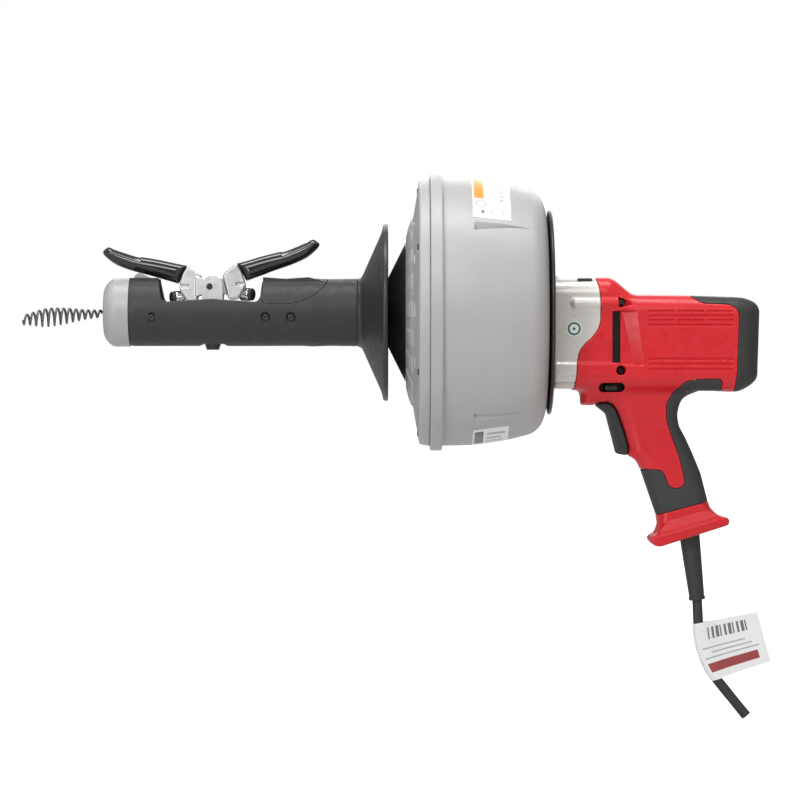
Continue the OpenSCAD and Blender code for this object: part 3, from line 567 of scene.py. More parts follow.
RED_FRONT = [
    (388.5, -67.7), (390.3, -57), (390.9, -45), (392.5, -35.6), (396.9, -29), (404.2, -22.5), (409, -16),
    (411.4, -9), (411.4, 8), (410.7, 19), (407.4, 29.8),
]
CAP_EDGE = [
    (488.4, 14.5), (492.6, 11.4), (501, 6.8), (522.3, 6.3), (529, 3), (531.5, -2), (530, -52), (528, -67),
]
SLEEVE_EDGE = [
    (517, -67.5), (517, -60.5), (514.6, -58.5), (493.5, -59.1), (485, -61.2), (475.4, -69.8), (469.6, -80.4),
    (470.1, -95.4), (475.4, -111.4), (480.7, -125.2), (485, -142.3), (486, -149.8), (482.9, -153.5),
    (476.4, -154.5), (472.2, -151.9), (467.9, -141.2), (464.7, -138.1), (447.7, -137.5),
]
BODY_SIDE = [
    (355, 29.5), (421.8, 29.8), (439.5, 14.7), (488, 14.2), (537, 12.5), (547, 8.4), (551, 2.5), (549, -58.2),
    (543, -64.1), (532, -70), (517, -69.1), (355, -67.7),
]
HANDLE_SIDE = [
    (394.9, -50), (396, -81.5), (407.2, -81.5), (412.5, -78.5), (421, -78.8), (426.4, -83.7), (429.5, -91.1),
    (433.8, -103.9), (438.1, -118.9), (437, -125.8), (444.5, -130.1), (447.7, -136), (462, -177.6),
    (463.7, -186), (461.6, -193.5), (456.2, -196.7), (455.7, -199.8), (459.4, -204.7), (464.7, -205.2),
    (524.5, -186.1), (524.5, -180.2), (515.2, -177.8), (508.6, -171), (501, -141.2), (493.5, -123.1),
    (487.1, -109.2), (481.8, -99.6), (480.2, -90), (481.8, -81.5), (484.4, -76.1), (490.3, -71.9),
    (495.3, -69.1), (496, -50),
]
TRIGGER_ROOM = [
    (395, -90), (405, -76), (428.5, -76), (435.5, -83), (443.5, -104), (448, -122), (444.5, -130.1),
    (430, -132),
]
BASE_LINE = (462, -177.6, 0.2747, 0.9616)

body_side = Outline(BODY_SIDE, 5)
handle_side = Outline(HANDLE_SIDE, 2.5)
gearbox_area = Outline(RED_FRONT + [(407.4, 60), (350, 60), (350, -90), (388.5, -90)], 3)
cap_area = Outline(CAP_EDGE + [(530, -90), (580, -90), (580, 50), (488.4, 50)], 3)
sleeve_area = Outline(SLEEVE_EDGE + [(425, -137.5), (440, -183.4), (530, -159.7), (530, -76), (517, -76)], 2)
trigger_room = Outline(TRIGGER_ROOM, 2)


def tool_skin(x, y, z):
    """The whole motor unit as one smooth form"""
    base = np.interp(x, [371, 408, 448, 531, 551], [37, 37.4, 38.2, 38.2, 35])
    share = np.clip(-z / 46.8, 0, 1)
    front, rear = 430 + 11.4 * share, 443 + 5.4 * share
    dip = 4.1 * np.clip((rear - x) / (rear - front), 0, 1) * smoothstep(428.2, 429, x)
    dip = dip * smoothstep(-47.5, -46, z) * smoothstep(1, -0.5, z)
    body = rounded_plate(body_side(x, z), y, base - dip, 15)
    boss = np.hypot(np.abs(y) - 33.6, z - 7)
    boss = np.hypot(boss, np.maximum(390 - x, 0)) - 6.2
    boss = np.maximum(boss, x - 430)
    body = smooth_min(body, boss, 1.2)
    band = rounded_box(x, np.abs(y), z, (371 - 20, 0, -57.5), (427, 38.6, -43.4), 3.5)
    body = smooth_min(body, band, 1)
    x0, z0, lean, drop = BASE_LINE
    s = (x - x0) * lean - (z - z0) * drop
    half = np.interp(z, [-140, -100, -80, -66, -50], [17.5, 18.5, 21, 26, 30])
    half = np.where(s > 0, np.interp(s, [0, 8, 15, 18, 26], [17.5, 17.5, 21, 24.5, 24.5]), half)
    radius = np.interp(s, [0, 8, 14], [11.5, 8, 3])
    handle = rounded_plate(handle_side(x, z), y, half, radius)
    return smooth_min(body, handle, 6)


GROOVES = [(0, 3), (-3.9, 1), (-7.9, 3), (-12, 1), (-41.5, 1), (-46, 1), (-50.5, 1)]


def panel_grooves(x, z):
    """Depth of the moulded grooves in the side panel"""
    depth = 0
    start, end = 453.5, 526
    for at, pieces in GROOVES:
        long = (end - start + 3) / pieces
        for i in range(pieces):
            a = start + i * long
            run = smoothstep(a - 0.4, a + 0.4, x) * smoothstep(a + long - 2.6, a + long - 3.4, x)
            depth = depth + 1.25 * run * np.exp(-((z - at) / 0.95) ** 4)
    return depth


def cut(field, tool, k=0.6):
    return smooth_max(field, -tool, k)


def capsule(u, v, half, radius):
    """Distance to a capsule that lies along u"""
    return np.hypot(np.maximum(np.abs(u) - half, 0), v) - radius


# Half of the gap at a parting line, and how thick each moulding is
SEAM = 0.12
SHELL_WALL, CASE_WALL, CAP_WALL, SLEEVE_WALL = 3.4, 4, 3.2, 4.6
HANDLE_SCREWS = ((495, -150), (462, -156))
screw_pocket = Outline([(426.6, 12.8), (442, 6), (427.2, 3.2)], 1)


def red_shell(side):
    """The field of a motor shell; side is -1 on the left"""
    def field(x, y, z):
        whole = tool_skin(x, y, z)
        shell = smooth_max(whole + panel_grooves(x, z), -(whole + SHELL_WALL), 0.5)
        for area in (gearbox_area, cap_area, sleeve_area):
            shell = smooth_max(shell, SEAM - area(x, z), 0.7)
        core = np.maximum(np.maximum(whole + 5.2, -(whole + 7.3)), np.maximum(sleeve_area(x, z) - 4, z + 72))
        shell = smooth_min(shell, core, 0.3)
        shell = smooth_max(shell, SEAM - side * y, 0.3)
        shell = cut(shell, np.maximum(trigger_room(x, z), np.abs(y) - 8.6))
        slider_slot = capsule(x - 421.5, z + 66.1, 7.2, 4)
        shell = cut(shell, np.maximum(slider_slot, 16 - np.abs(y)), 0.9)
        vent = rounded_box(x, 0, z, (421.6, -1, -44.6), (428.4, 1, 0.2), 1)
        shell = cut(shell, np.maximum(vent, 29 - np.abs(y)))
        if side < 0:
            pocket = np.minimum(screw_pocket(x, z), np.hypot(x - 429, z + 51.3) - 4.2)
            floor = np.where(z > -20, 31.2 + 0.78 * np.clip(x - 432.5, 0, 9), 27.2)
            boss = np.maximum(np.maximum(pocket - 1.6, whole + 2), floor - 3.2 + y)
            shell = cut(smooth_min(shell, boss, 0.5), np.maximum(pocket, floor + y), 0.8)
            for screw_x, screw_z in HANDLE_SCREWS:
                hole = np.hypot(x - screw_x, z - screw_z) - 4
                shell = cut(shell, np.maximum(hole, 11 + y), 0.8)
        return shell
    return field


def fine_panel(points):
    x, y, z = points.T
    return (x > 450) & (x < 529) & (z > -54) & (z < 4) & (np.abs(y) > 36)


def half_box(node, side, reach):
    """The corners of a half's box, widened across the view to take its skin"""
    low, high = corners(node)
    low[1], high[1] = (-reach, 0.5) if side < 0 else (-0.5, reach)
    return low, high


def make_shells():
    for side, name in SIDES:
        node = name + "_motor_shell"
        low, high = half_box(node, side, 41)
        low[2] -= 2
        made = skin(name + "_shell_moulding", red_shell(side), low - 1, high + 2, 0.85, fine_panel)
        dress(made, "motor_unit", "red_plastic", node)


def moulding(area, inset, wall, trim):
    """The field of the hollow moulding that the motor unit's skin has inside an area"""
    def field(x, y, z):
        whole = tool_skin(x, y, z) + inset
        hollow = smooth_max(whole, -(whole + wall), 0.5)
        return smooth_max(hollow, area(x, z) + SEAM, trim)
    return field


def gearbox_field(x, y, z):
    case = smooth_max(moulding(gearbox_area, 0.9, CASE_WALL, 0.6)(x, y, z), 371 - x, 2)
    slot = rounded_box(x, y, z, (391.5, -42, 26.6), (404.5, 20, 40), 1)
    line = np.exp(-((z + 62) / 0.45) ** 4) * 0.8
    return cut(case, slot) + line


def make_mouldings():
    made = skin("gearbox_case", gearbox_field, (370, -42, -70), (413, 42, 32), 0.9)
    dress(made, "motor_unit", "champagne_paint", "gearbox_housing")
    low, high = corners("rear_motor_cap")
    cap = moulding(cap_area, 0, CAP_WALL, 0.7)
    made = skin("rear_cap_moulding", cap, low - 3, high + 3, 0.9)
    dress(made, "motor_unit", "charcoal_plastic", "rear_motor_cap")
    low, high = corners("handle_sleeve")
    low[1], high[1] = -40, 40
    sleeve = moulding(sleeve_area, 0.15, SLEEVE_WALL, 0.9)
    made = skin("handle_overmould", sleeve, low - 3, high + 3, 0.9)
    dress(made, "motor_unit", "grip_rubber", "handle_sleeve")


def make_trigger():
    edge = [(437, -125.8), (438.1, -119), (433.8, -103.9), (429.5, -91.1), (426.4, -83.7), (421, -78.8),
            (412.5, -78.5), (407.7, -81), (417.8, -89), (419.9, -97.5), (426.4, -123.1), (428.1, -124.4)]
    side = Outline(edge, 2.5)

    def field(x, y, z):
        finger = rounded_plate(side(x, z), y, 8, 2.6)
        guide = rounded_box(x, y, z, (430, -3, -108), (442, 3, -98), 1)
        return smooth_min(finger, guide, 1)

    low, high = corners("trigger")
    dress(skin("trigger_moulding", field, low - 1, high + 1, 0.55), "trigger", "black_plastic", "trigger")

    low, high = corners("reverse_switch")
    middle = (low + high) / 2

    def slider(x, y, z):
        bar = rounded_box(x, y, z, low, high, 2.4)
        carrier = rounded_box(x, y, z, (low[0] - 9, -10, low[2] - 3), (high[0] + 9, 10, high[2] + 3), 1)
        ribs = 0.5 * np.cos((x - middle[0]) * np.pi / 1.1) * smoothstep(high[1] - 3, high[1] - 1, np.abs(y))
        return smooth_min(bar + np.minimum(ribs, 0) * 0.9 + 0.2, carrier, 0.5)

    made = skin("direction_slider", slider, low - (10, 1, 4), high + (10, 1, 4), 0.5)
    dress(made, "reverse_switch", "black_plastic", "reverse_switch")


def blocks(name, boxes):
    """Bevelled blocks as one object; each is (x0, x1, y0, y1, z0, z1)"""
    points, faces = [], []
    for x0, x1, y0, y1, z0, z1 in boxes:
        start = len(points)
        points += [(x, y, z) for x in (x0, x1) for y in (y0, y1) for z in (z0, z1)]
        faces += [tuple(start + i for i in face) for face in (
            (0, 1, 3, 2), (4, 6, 7, 5), (0, 4, 5, 1), (2, 3, 7, 6), (0, 2, 6, 4), (1, 5, 7, 3))]
    made = piece(name, points, faces)
    bevel = made.modifiers.new("edges", "BEVEL")
    bevel.width = 0.25 * MM
    bevel.segments = 2
    return made


def make_vents():
    """Fins and a back plate behind the vent slots of the motor shells, coloured black as painted shade deep in the
    slots, and a black block in the gearbox's top slot as painted shade in it
    """
    # The back plate and the fins are black: painted shade deep inside the vent slots.
    fins = [(421, 429.5, 26.6, 28, -46, 1.5)]
    fins += [(422, 428, 28, 30.6, z, z + 1.1) for z in np.arange(-43.4, -1, 3.3)]
    for side, name in SIDES:
        sided = [(x0, x1, *sorted((side * y0, side * y1)), z0, z1) for x0, x1, y0, y1, z0, z1 in fins]
        dress(blocks(name + "_vent_fins", sided), "motor_unit", "black_vinyl")
    # A black block fills the gearbox's top slot: painted shade in the slot's depth.
    dress(blocks("gearbox_slot_insert", [(391.9, 404.1, -30.5, 19.7, 23, 29)]), "motor_unit", "black_plastic")


# ---- Screws ----

def screw(name, at, axis, radius, height, shank, length, body, node):
    """A pan head with a six-lobed socket, on its shank; at is the middle of the head's seat"""
    socket = radius * 0.48
    profile = [(height * 0.35, 0), (height * 0.35, socket * 0.7), (height * 0.4, socket), (height, socket),
               (height, socket * 1.15), (height * 0.93, radius * 0.72), (height * 0.6, radius * 0.96),
               (height * 0.35, radius), (0, radius), (0, shank), (-length, shank), (-length, 0)]
    profile = eased(profile, [0, 0.1, 0.1, 0.15, 0.15, 0.6, 0.5, 0.3, 0.12, 0.2, 0.3, 0], closed=False)

    def lobed(h, r, angle):
        inside = (r <= socket * 1.08) & (h > 0)
        return h, np.where(inside, r * (1 + 0.13 * np.cos(6 * angle)), r), angle

    dress(turn(name, profile, at, axis, 48, lobed, closed=False), body, "dark_steel", node)


def make_screws():
    for i, (low, high) in enumerate(solids("shell_screws"), 1):
        x, y, z = (low + high) / 2
        head, long = 2.6, high[1] - low[1]
        screw(f"shell_screw_{i}", (x, low[1] + head, z), (0, -1, 0), 3.5, head, 2, long - head, "motor_unit",
              "shell_screws")
    for i, (low, high) in enumerate(solids("grip_screws"), 1):
        x, y, z = (low + high) / 2
        long = high[1] - low[1]
        if long > 10:
            side, head = (-1, low[1]) if y < 0 else (1, high[1])
            shape = (x, head - side * 1.8, z), (0, side, 0), 3.5, 1.8, 1.5, long - 1.8
        else:
            shape = (x, y, high[2] - 2), (0, 0, 1), 2.8, 2, 1.5, high[2] - low[2] - 2
        screw(f"grip_screw_{i}", *shape, "front_grip", "grip_screws")
    for i, (low, high) in enumerate(solids("drum_screws"), 1):
        x, y, z = (low + high) / 2
        seat, head, length = (254.2, 2.4, 25) if low[0] < 300 else (352.6, 2.6, 10.5)
        screw(f"drum_screw_{i}", (seat, y, z), (-1, 0, 0), 3.8, head, 2, length, "drum", "drum_screws")


# ---- Drum ----

WEDGES = [(52, -1), (142, 1), (232, -1), (322, 1)]
WEDGE_HALF = math.radians(2.3)
WEDGE_X = (301, 347)


def drum_radius(x):
    """Outside radius of the drum's rear half behind the flange"""
    return np.interp(x, [273.9, 300, 331.9, 353.8, 360.6, 364, 365.6],
                     [117.3, 116.9, 112.3, 106.4, 99.7, 90.4, 80])


def wedge(x, r, angle):
    """Four ramped finger notches in the rear half, each deepest at its level edge and at its front"""
    depth = 0
    for centre, side in WEDGES:
        turned = side * (angle - math.radians(centre))
        share = np.clip((x - WEDGE_X[0]) / (WEDGE_X[1] - WEDGE_X[0]), 0, 0.999)
        start = WEDGE_HALF * (2 * share - 1)
        ramp = np.clip((turned - start) / (WEDGE_HALF - start), 0, 1) * (turned <= WEDGE_HALF + 1e-4)
        front = smoothstep(WEDGE_X[0] - 0.4, WEDGE_X[0] + 0.8, x)
        depth = depth + 5.5 * np.sqrt(1 - share) * front * ramp
        near = np.clip(1.4 - np.abs(turned) / math.radians(8), 0, 1)
        angle = angle - side * math.radians(4.2) * share * near * (x > WEDGE_X[0])
    return x, r - np.where(r > 95, depth, 0), angle


def fine_angles(coarse, centres, reach, step):
    """Angles round a turn, closer together near the centres; a centre is always one of them"""
    angles = [np.arange(0, 360, coarse)]
    for c in centres:
        angles = [a[np.abs((a - c + 180) % 360 - 180) > reach] for a in angles]
    angles += [(c + np.arange(-reach, reach + step / 2, step)) % 360 for c in centres]
    return np.radians(np.unique(np.round(np.concatenate(angles), 4)))


def make_drum():
    flange = corners("drum_rear")[1][1]
    coarse = 0.75 * COARSE
    rear = [(263.2, 114, 0.3), (263.2, flange - 0.7, 0.4), (263.9, flange, 0.4), (272.8, flange, 0.7),
            (273.9, flange - 0.9, 0.7), (273.9, 117.6, 0.5), (275, 117.2, 0.6), (300, 116.9, 12),
            (331.9, 112.3, 12), (353.8, 106.4, 5), (360.6, 99.7, 4), (364, 90.4, 4), (365.6, 80, 5),
            (365.6, 8.6, 0.3), (358.6, 8.6, 0.5), (358.6, 36, 0.5), (362.6, 36, 1), (362.6, 80, 5),
            (361, 89.5, 4), (357.6, 98, 4), (350.8, 103.4, 5), (328.9, 109.2, 12), (299, 113.8, 12)]
    profile = rounded_profile(rear, COARSE, 6)
    angles = fine_angles(coarse, [centre for centre, side in WEDGES], 3, 0.23)
    walls = [math.radians(at) + side * (WEDGE_HALF + gap) for at, side in WEDGES for gap in (0, 0.0012)]
    angles = np.unique(np.concatenate([angles, walls]))
    made = turn("drum_rear_moulding", profile, segments=angles, shape=wedge)
    dress(made, "drum", "drum_grey", "drum_rear")

    front = [(241.9, 57, 0.4), (241.9, 60.7, 0.8), (245.3, 75.2, 1.5), (248.6, 83.6, 1.5), (252, 103.8, 3),
             (253.7, 115.8, 1.8), (262.2, 117.5, 0.4), (262.95, 117, 0.3), (262.95, 113.8, 0.3),
             (260, 113.6, 1), (256.7, 112.6, 1), (255, 103.5, 3), (251.6, 83.3, 1.5), (248.3, 74.9, 1.5),
             (244.9, 61, 1), (244.9, 57, 0.4)]
    profile = rounded_profile(front, 0.9 * COARSE, 5)
    holes = [math.degrees(math.atan2((a[2] + b[2]) / 2, (a[1] + b[1]) / 2)) % 360
             for a, b in solids("drum_screws") if a[0] < 300]

    def dome(x, r, angle):
        """Screw recesses, raised pads between them and a ring of short slots on the front dome"""
        middle = np.interp(r, [60, 75, 84, 104, 114], [243.6, 247.2, 250.4, 253.6, 255.4])
        outer = (r > 58) & (x < 253.6) & (x < middle)
        deg = np.degrees(angle)
        recess = 0
        for hole in holes:
            off = np.radians((deg - hole + 180) % 360 - 180) * r
            far = np.hypot(off, r - 106)
            rim = 0.8 * smoothstep(7.2, 6.2, far)
            recess = np.maximum(recess, 2.6 * smoothstep(4.9, 4.2, far)) - rim * (far > 4.2)
        spoke = np.abs((deg + 9) % 18 - 9)
        pad = 0.9 * smoothstep(5.2, 4.4, spoke) * smoothstep(64, 66, r) * smoothstep(82.5, 81, r)
        slot = 2.4 * smoothstep(3.6, 3.0, np.abs((deg + 15) % 30 - 15)) * smoothstep(86, 87, r)
        slot = slot * smoothstep(92.5, 91.5, r)
        return x + np.where(outer, recess - pad + slot, 0), r, angle

    angles = fine_angles(coarse, holes, 4.5, 0.35)
    made = turn("drum_front_moulding", profile, segments=angles, shape=dome)
    dress(made, "drum", "drum_grey", "drum_front")

    cone = [(190, 12, 0.4), (190, 16, 0.4), (219.2, 16, 3), (228, 33.4, 2), (241.7, 60.9, 0.5),
            (241.7, 56.9, 0.4), (246, 56.9, 0.5), (246, 53.5, 0.5), (242.3, 53.5, 1), (231.2, 31.5, 1),
            (223.3, 16, 1), (250, 16, 0.5), (250, 12, 0.4)]
    made = turn("front_cone_moulding", rounded_profile(cone, 3), segments=240)
    dress(made, "drum", "black_plastic", "front_cone")


def label_finish(name, prints):
    """Printed paper"""
    return finish(name, PAPER, 0.35, 0.3, 0.004, mottle=0.01, prints=prints)


def make_labels():
    """Generic labels: plain blocks, bars and rings, with nothing to read on them"""
    bars = [("bar", 0.04, 0.26, 0.3, 0.8, ORANGE), ("bar", 0.22, 0.055, 0.3, 0.095, INK)]
    bars += [("bar", 0.4, 0.62 - 0.05 * i, 0.94 - 0.1 * (i % 3), 0.63 - 0.05 * i, PALE_INK) for i in range(8)]
    bars += [("bar", 0.72, 0.6 - 0.07 * i, 0.8, 0.62 - 0.07 * i, PALE_INK) for i in range(6)]
    bars += [("ring", 0.22, 0.185, 0.115, 0.15, PALE_INK, 3.2),
             ("ring", 0.64, 0.085, 0.14, 0.175, PALE_INK, 3.2)]
    upper = label_finish("upper_label_print", bars)
    marks = [("bar", 0.05, 0.1, 0.3, 0.9, INK), ("bar", 0.4, 0.68, 0.9, 0.8, PALE_INK),
             ("bar", 0.4, 0.44, 0.8, 0.54, PALE_INK), ("bar", 0.4, 0.2, 0.86, 0.3, PALE_INK)]
    lower = label_finish("lower_label_print", marks)
    for name, x0, x1, a0, a1, material in (("upper_label", 299.3, 332, 42.6, 94, upper),
                                          ("lower_label", 300, 331, -83, -62, lower)):
        def surface(u, v, x0=x0, x1=x1, a0=a0, a1=a1):
            x = x0 + (x1 - x0) * u
            angle = np.radians(180 - (a0 + (a1 - a0) * v))
            r = drum_radius(x) + 0.12 + 0.05 * np.sin(9 * u) * np.sin(11 * v)
            return np.stack([x, r * np.cos(angle), r * np.sin(angle)], -1)
        dress(sheet(name, surface, 34, 60, 0.14), "drum", "tag_paper", material=material)
    ring = [("ring", 0.5, 0.5, 0.30, 0.43, GREEN, 1), ("ring", 0.5, 0.5, 0.0, 0.1, GREEN, 1)]
    sticker = label_finish("round_sticker_print", ring)

    def round_place(u, v):
        a, b = 2 * u - 1, 2 * v - 1
        return 0.5 + 0.5 * a * np.sqrt(1 - b * b / 2), 0.5 + 0.5 * b * np.sqrt(1 - a * a / 2)

    def disc(u, v):
        across, up = round_place(u, v)
        x, z = 381.6 + 13.4 * across, -21.8 + 13.4 * up
        half = np.interp(x, [371, 408], [37, 37.4]) - 0.9 + 0.1
        return np.stack([x, -half, z], -1)

    made = sheet("round_sticker", disc, 32, 32, 0.14, round_place)
    dress(made, "motor_unit", "tag_paper", material=sticker)


def make_guards():
    low, high = corners("hand_guard")
    rim = high[1]
    guard = [(188, 22, 0.4), (188, 25.9, 0.4), (199.6, 25.9, 0.3), (199.6, 29.9, 1.2), (203.5, 31.2, 4),
             (221, 70.5, 6), (222.2, rim - 1, 1), (224.4, rim, 1.2), (226.6, rim - 0.8, 1),
             (226.2, rim - 4, 2), (224.8, 70, 5), (206, 29, 3), (203.4, 22, 0.5)]
    made = turn("hand_guard_moulding", rounded_profile(guard, 3, 6), segments=300)
    dress(made, "front_grip", "black_plastic", "hand_guard")

    low, high = corners("rear_guard")
    rim = high[1]
    disc = [(366.5, 12.5), (366.5, rim - 3), (367, rim - 0.6), (368.3, rim), (369.4, rim - 0.9),
            (370, rim - 3.5), (369.2, rim - 5), (369.2, rim - 24), (370, rim - 27), (370, 12.5)]
    made = turn("rear_guard_disc", stepped(eased(disc, 1.2, steps=5), 4), segments=300)
    dress(made, "motor_unit", "black_plastic", "rear_guard")
    collar = [(370.1, 16.2), (370.1, 36), (373.6, 36), (373.6, 33.5), (375.6, 33.5), (375.6, 16.2)]
    made = turn("bearing_collar", eased(collar, 0.8), segments=160)
    dress(made, "motor_unit", "champagne_paint")

    low, high = corners("nose_cap")
    front, rim = low[0], high[1]
    cap = [(front, 7, 0.8), (front, rim - 8, 3.5), (front + 6.9, rim, 4.5), (-0.15, rim, 0.5),
           (-0.15, 25.9, 0.3), (8, 25.9, 0.4), (8, 23, 0.4), (-14, 23, 2), (-17, 7, 1)]
    made = turn("nose_cap_moulding", rounded_profile(cap, 3, 7), segments=200)
    dress(made, "front_grip", "nose_grey", "nose_cap")


# ---- Cable ----

def make_cable():
    low, high = corners("bulb_auger")
    turns, wire, peak = 13, 1.05, 0.68
    start, length = high[0] - wire, high[0] - low[0] - 2 * wire
    t = np.linspace(0, 1, turns * 40 + 1)
    rise = 3.9 + 4.75 * np.sin(np.pi / 2 * np.minimum(t / peak, 1)) ** 2
    fall = 3.5 * np.sin(np.pi / 2 * np.clip((t - peak) / (1 - peak), 0, 1)) ** 2
    reach = rise - fall - wire
    angle = 2 * np.pi * turns * t
    droop = 1 + 5.5 * t ** 1.3
    path = np.stack([start - length * t, reach * np.cos(angle), reach * np.sin(angle) - droop], 1)
    dress(sweep("auger_wire", path, wire, 12), "cable", "cable_steel", "bulb_auger")

    low, high = corners("cable_lead")
    radius, pitch = high[1], 1.7
    steps = np.arange(low[0], high[0], 0.3 * COARSE)
    profile = np.array([(x, radius) for x in steps] + [(x, 2.3) for x in steps[::-8]])

    def wound(x, r, angle):
        ridge = np.abs(np.cos(np.pi * (x / pitch + angle / (2 * np.pi))))
        return x, np.where(r > 3, r - 0.42 * (1 - ridge ** 0.6), r), angle

    made = turn("wound_cable", profile, segments=24, shape=wound, sharp=60)
    dress(made, "cable", "cable_steel", "cable_lead")

    around, sides = 220, 14
    a, b = np.meshgrid(*(np.arange(n) * 2 * np.pi / n for n in (around, sides)), indexing="ij")
    ring_faces = np.array(tube(around, sides, True))
    points, faces = [], []
    for low, high in solids("cable_coil"):
        middle, thick = (low[0] + high[0]) / 2, (high[0] - low[0]) / 2
        r = high[1] - thick + thick * np.cos(b)
        faces += (ring_faces + len(points)).tolist()
        ring = np.stack([middle + thick * np.sin(b), r * np.cos(a), r * np.sin(a)], -1)
        points += ring.reshape(-1, 3).tolist()
    dress(piece("coiled_cable", points, faces), "drum", "cable_steel", "cable_coil")


# ---- Front grip ----

WINDOW = [(24.5, 60), (25.5, 30), (28, 12.5), (31, 8.6), (72, 11.3), (112, 8.6), (115, 12.5), (116.5, 30),
          (117, 60)]
COVER = [(116.8, 60), (116.8, 6.8), (143, 6.8), (150, 8.9), (158, 12), (165, 16.4), (170, 21.6), (174, 27.5),
         (175, 60)]
window_area = Outline(WINDOW, 2.2)
cover_area = Outline(COVER, 5)
bottom_notch = Outline([(56, -34), (63.6, -27.7), (82.6, -27.7), (90, -34)], 2)


def grip_tube(x, y, z):
    """The whole front grip housing, before it is cut into its mouldings"""
    radius = np.interp(x, [0, 4, 40, 100, 150, 160, 175, 200],
                       [29.1, 29.6, 29.5, 29.6, 29.4, 29.9, 29.4, 29.7])
    around = np.hypot(y, z)
    top = np.interp(x, [0, 30, 117, 137, 157, 175], [30, 30, 30.6, 29.2, 30.6, 26])
    rails = np.maximum(np.abs(np.abs(y) - 12.6) - 2.1, z - top)
    rails = np.maximum(rails, 12 - z)
    rails = np.maximum(rails, np.minimum(x - 27, 116.8 - x))
    outer = smooth_min(around - radius, rails, 1.6)
    wall = smooth_max(outer, radius - 3.5 - around, 0.6)
    slot = np.minimum(rounded_box(x, y, z, (-9, -10.5, 15), (27, 10.5, 60), 1.5),
                      rounded_box(x, y, z, (108, -10.5, 22.5), (146, 10.5, 60), 1.5))
    for opening in (slot, window_area(x, z), bottom_notch(x, z)):
        wall = cut(wall, opening, 1)
    return wall


def grip_half(side):
    def field(x, y, z):
        half = grip_tube(x, y, z)
        half = smooth_max(half, -x, 0.5)
        half = smooth_max(half, x - 199.6, 0.5)
        half = smooth_max(half, 0.08 - cover_area(x, z), 0.3)
        half = smooth_max(half, SEAM - side * y, 0.3)
        for at, wide, tall in ((20.7, 2.6, 4.6), (120, 4, 5), (142, 4, 5)):
            pocket = capsule(z + 6.2, x - at, tall - wide + 0.8, wide)
            half = cut(half, np.maximum(pocket, 26.9 - np.abs(y)), 0.7)
        return half
    return field


def cover_field(x, y, z):
    return smooth_max(grip_tube(x, y, z), cover_area(x, z) + 0.08, 0.3)


def make_grip():
    for side, name in SIDES:
        node = name + "_grip_shell"
        low, high = half_box(node, side, 31)
        low[2], high[2] = -31, 32
        made = skin(name + "_grip_moulding", grip_half(side), low - 1, high + 1, 0.8)
        dress(made, "front_grip", "charcoal_plastic", node)
    low, high = corners("grip_top_cover")
    high[2] = 32
    made = skin("grip_cover_moulding", cover_field, low - 1, high + 1, 0.7)
    dress(made, "front_grip", "charcoal_plastic", "grip_top_cover")


def make_lever_pads():
    """Two low cheeks on top of the grip, one each side of the advance lever"""
    outline = Outline([(2, 25.5), (5, 33), (9, 34.6), (20, 29.6), (20, 25.5)], 1.5)
    for side, name in SIDES:
        middle = side * 11.5

        def cheek(x, y, z):
            return rounded_plate(outline(x, z), y - middle, 1, 0.5)

        made = skin(name + "_lever_pad", cheek, (1, middle - 2, 24.5), (21, middle + 2, 36), 0.4)
        dress(made, "front_grip", "inner_grey")


# ---- Levers ----

PIVOT = np.array(joint("advance_press")["pos_m"]) / MM
REST_DIFFERENCE = math.radians(-joint("advance_press")["range_deg"][0])
BODY_REACH = 4.6
CASTING = [(-19.7, 18.5), (-7.6, 10.1), (-11, -12.6), (-19.9, -12.6), (-27.1, -1.2), (-26.1, 3.5),
           (-24.2, 10.9)]
VINYL = [(-19.9, 18.9), (-29.5, 20.8), (-46.3, 24.5), (-63.1, 27), (-74.4, 30.7), (-85.6, 34.5),
         (-89.5, 35.4), (-94.6, 31.2), (-93.5, 27.8), (-88.4, 23.3), (-82.8, 19.4), (-74.4, 16),
         (-65.4, 13.2), (-52, 9.9), (-40.7, 6.5), (-27.5, 2.6), (-24.2, 10.9)]
casting_side = Outline(CASTING, 2)
vinyl_side = Outline(VINYL, [1.5, 8, 8, 8, 8, 6, 6, 6, 6, 6, 6, 6, 8, 8, 8, 1.5, 2])
arm_side = Outline([(-12, 8.5), (-4, 6.6), (0, 6), (3, 5.2), (3, -5.2), (0, -6), (-4, -6.6), (-12, -8.5)], 1)


def lever_place(mirrored):
    """Takes points from the advance lever's own axes at the pivot to the frame"""
    def place(points):
        if not mirrored:
            return points + PIVOT
        x, y, z = points.T
        c, s = math.cos(REST_DIFFERENCE), math.sin(REST_DIFFERENCE)
        return np.stack([-x * c - z * s, y, z * c - x * s], 1) + PIVOT
    return place


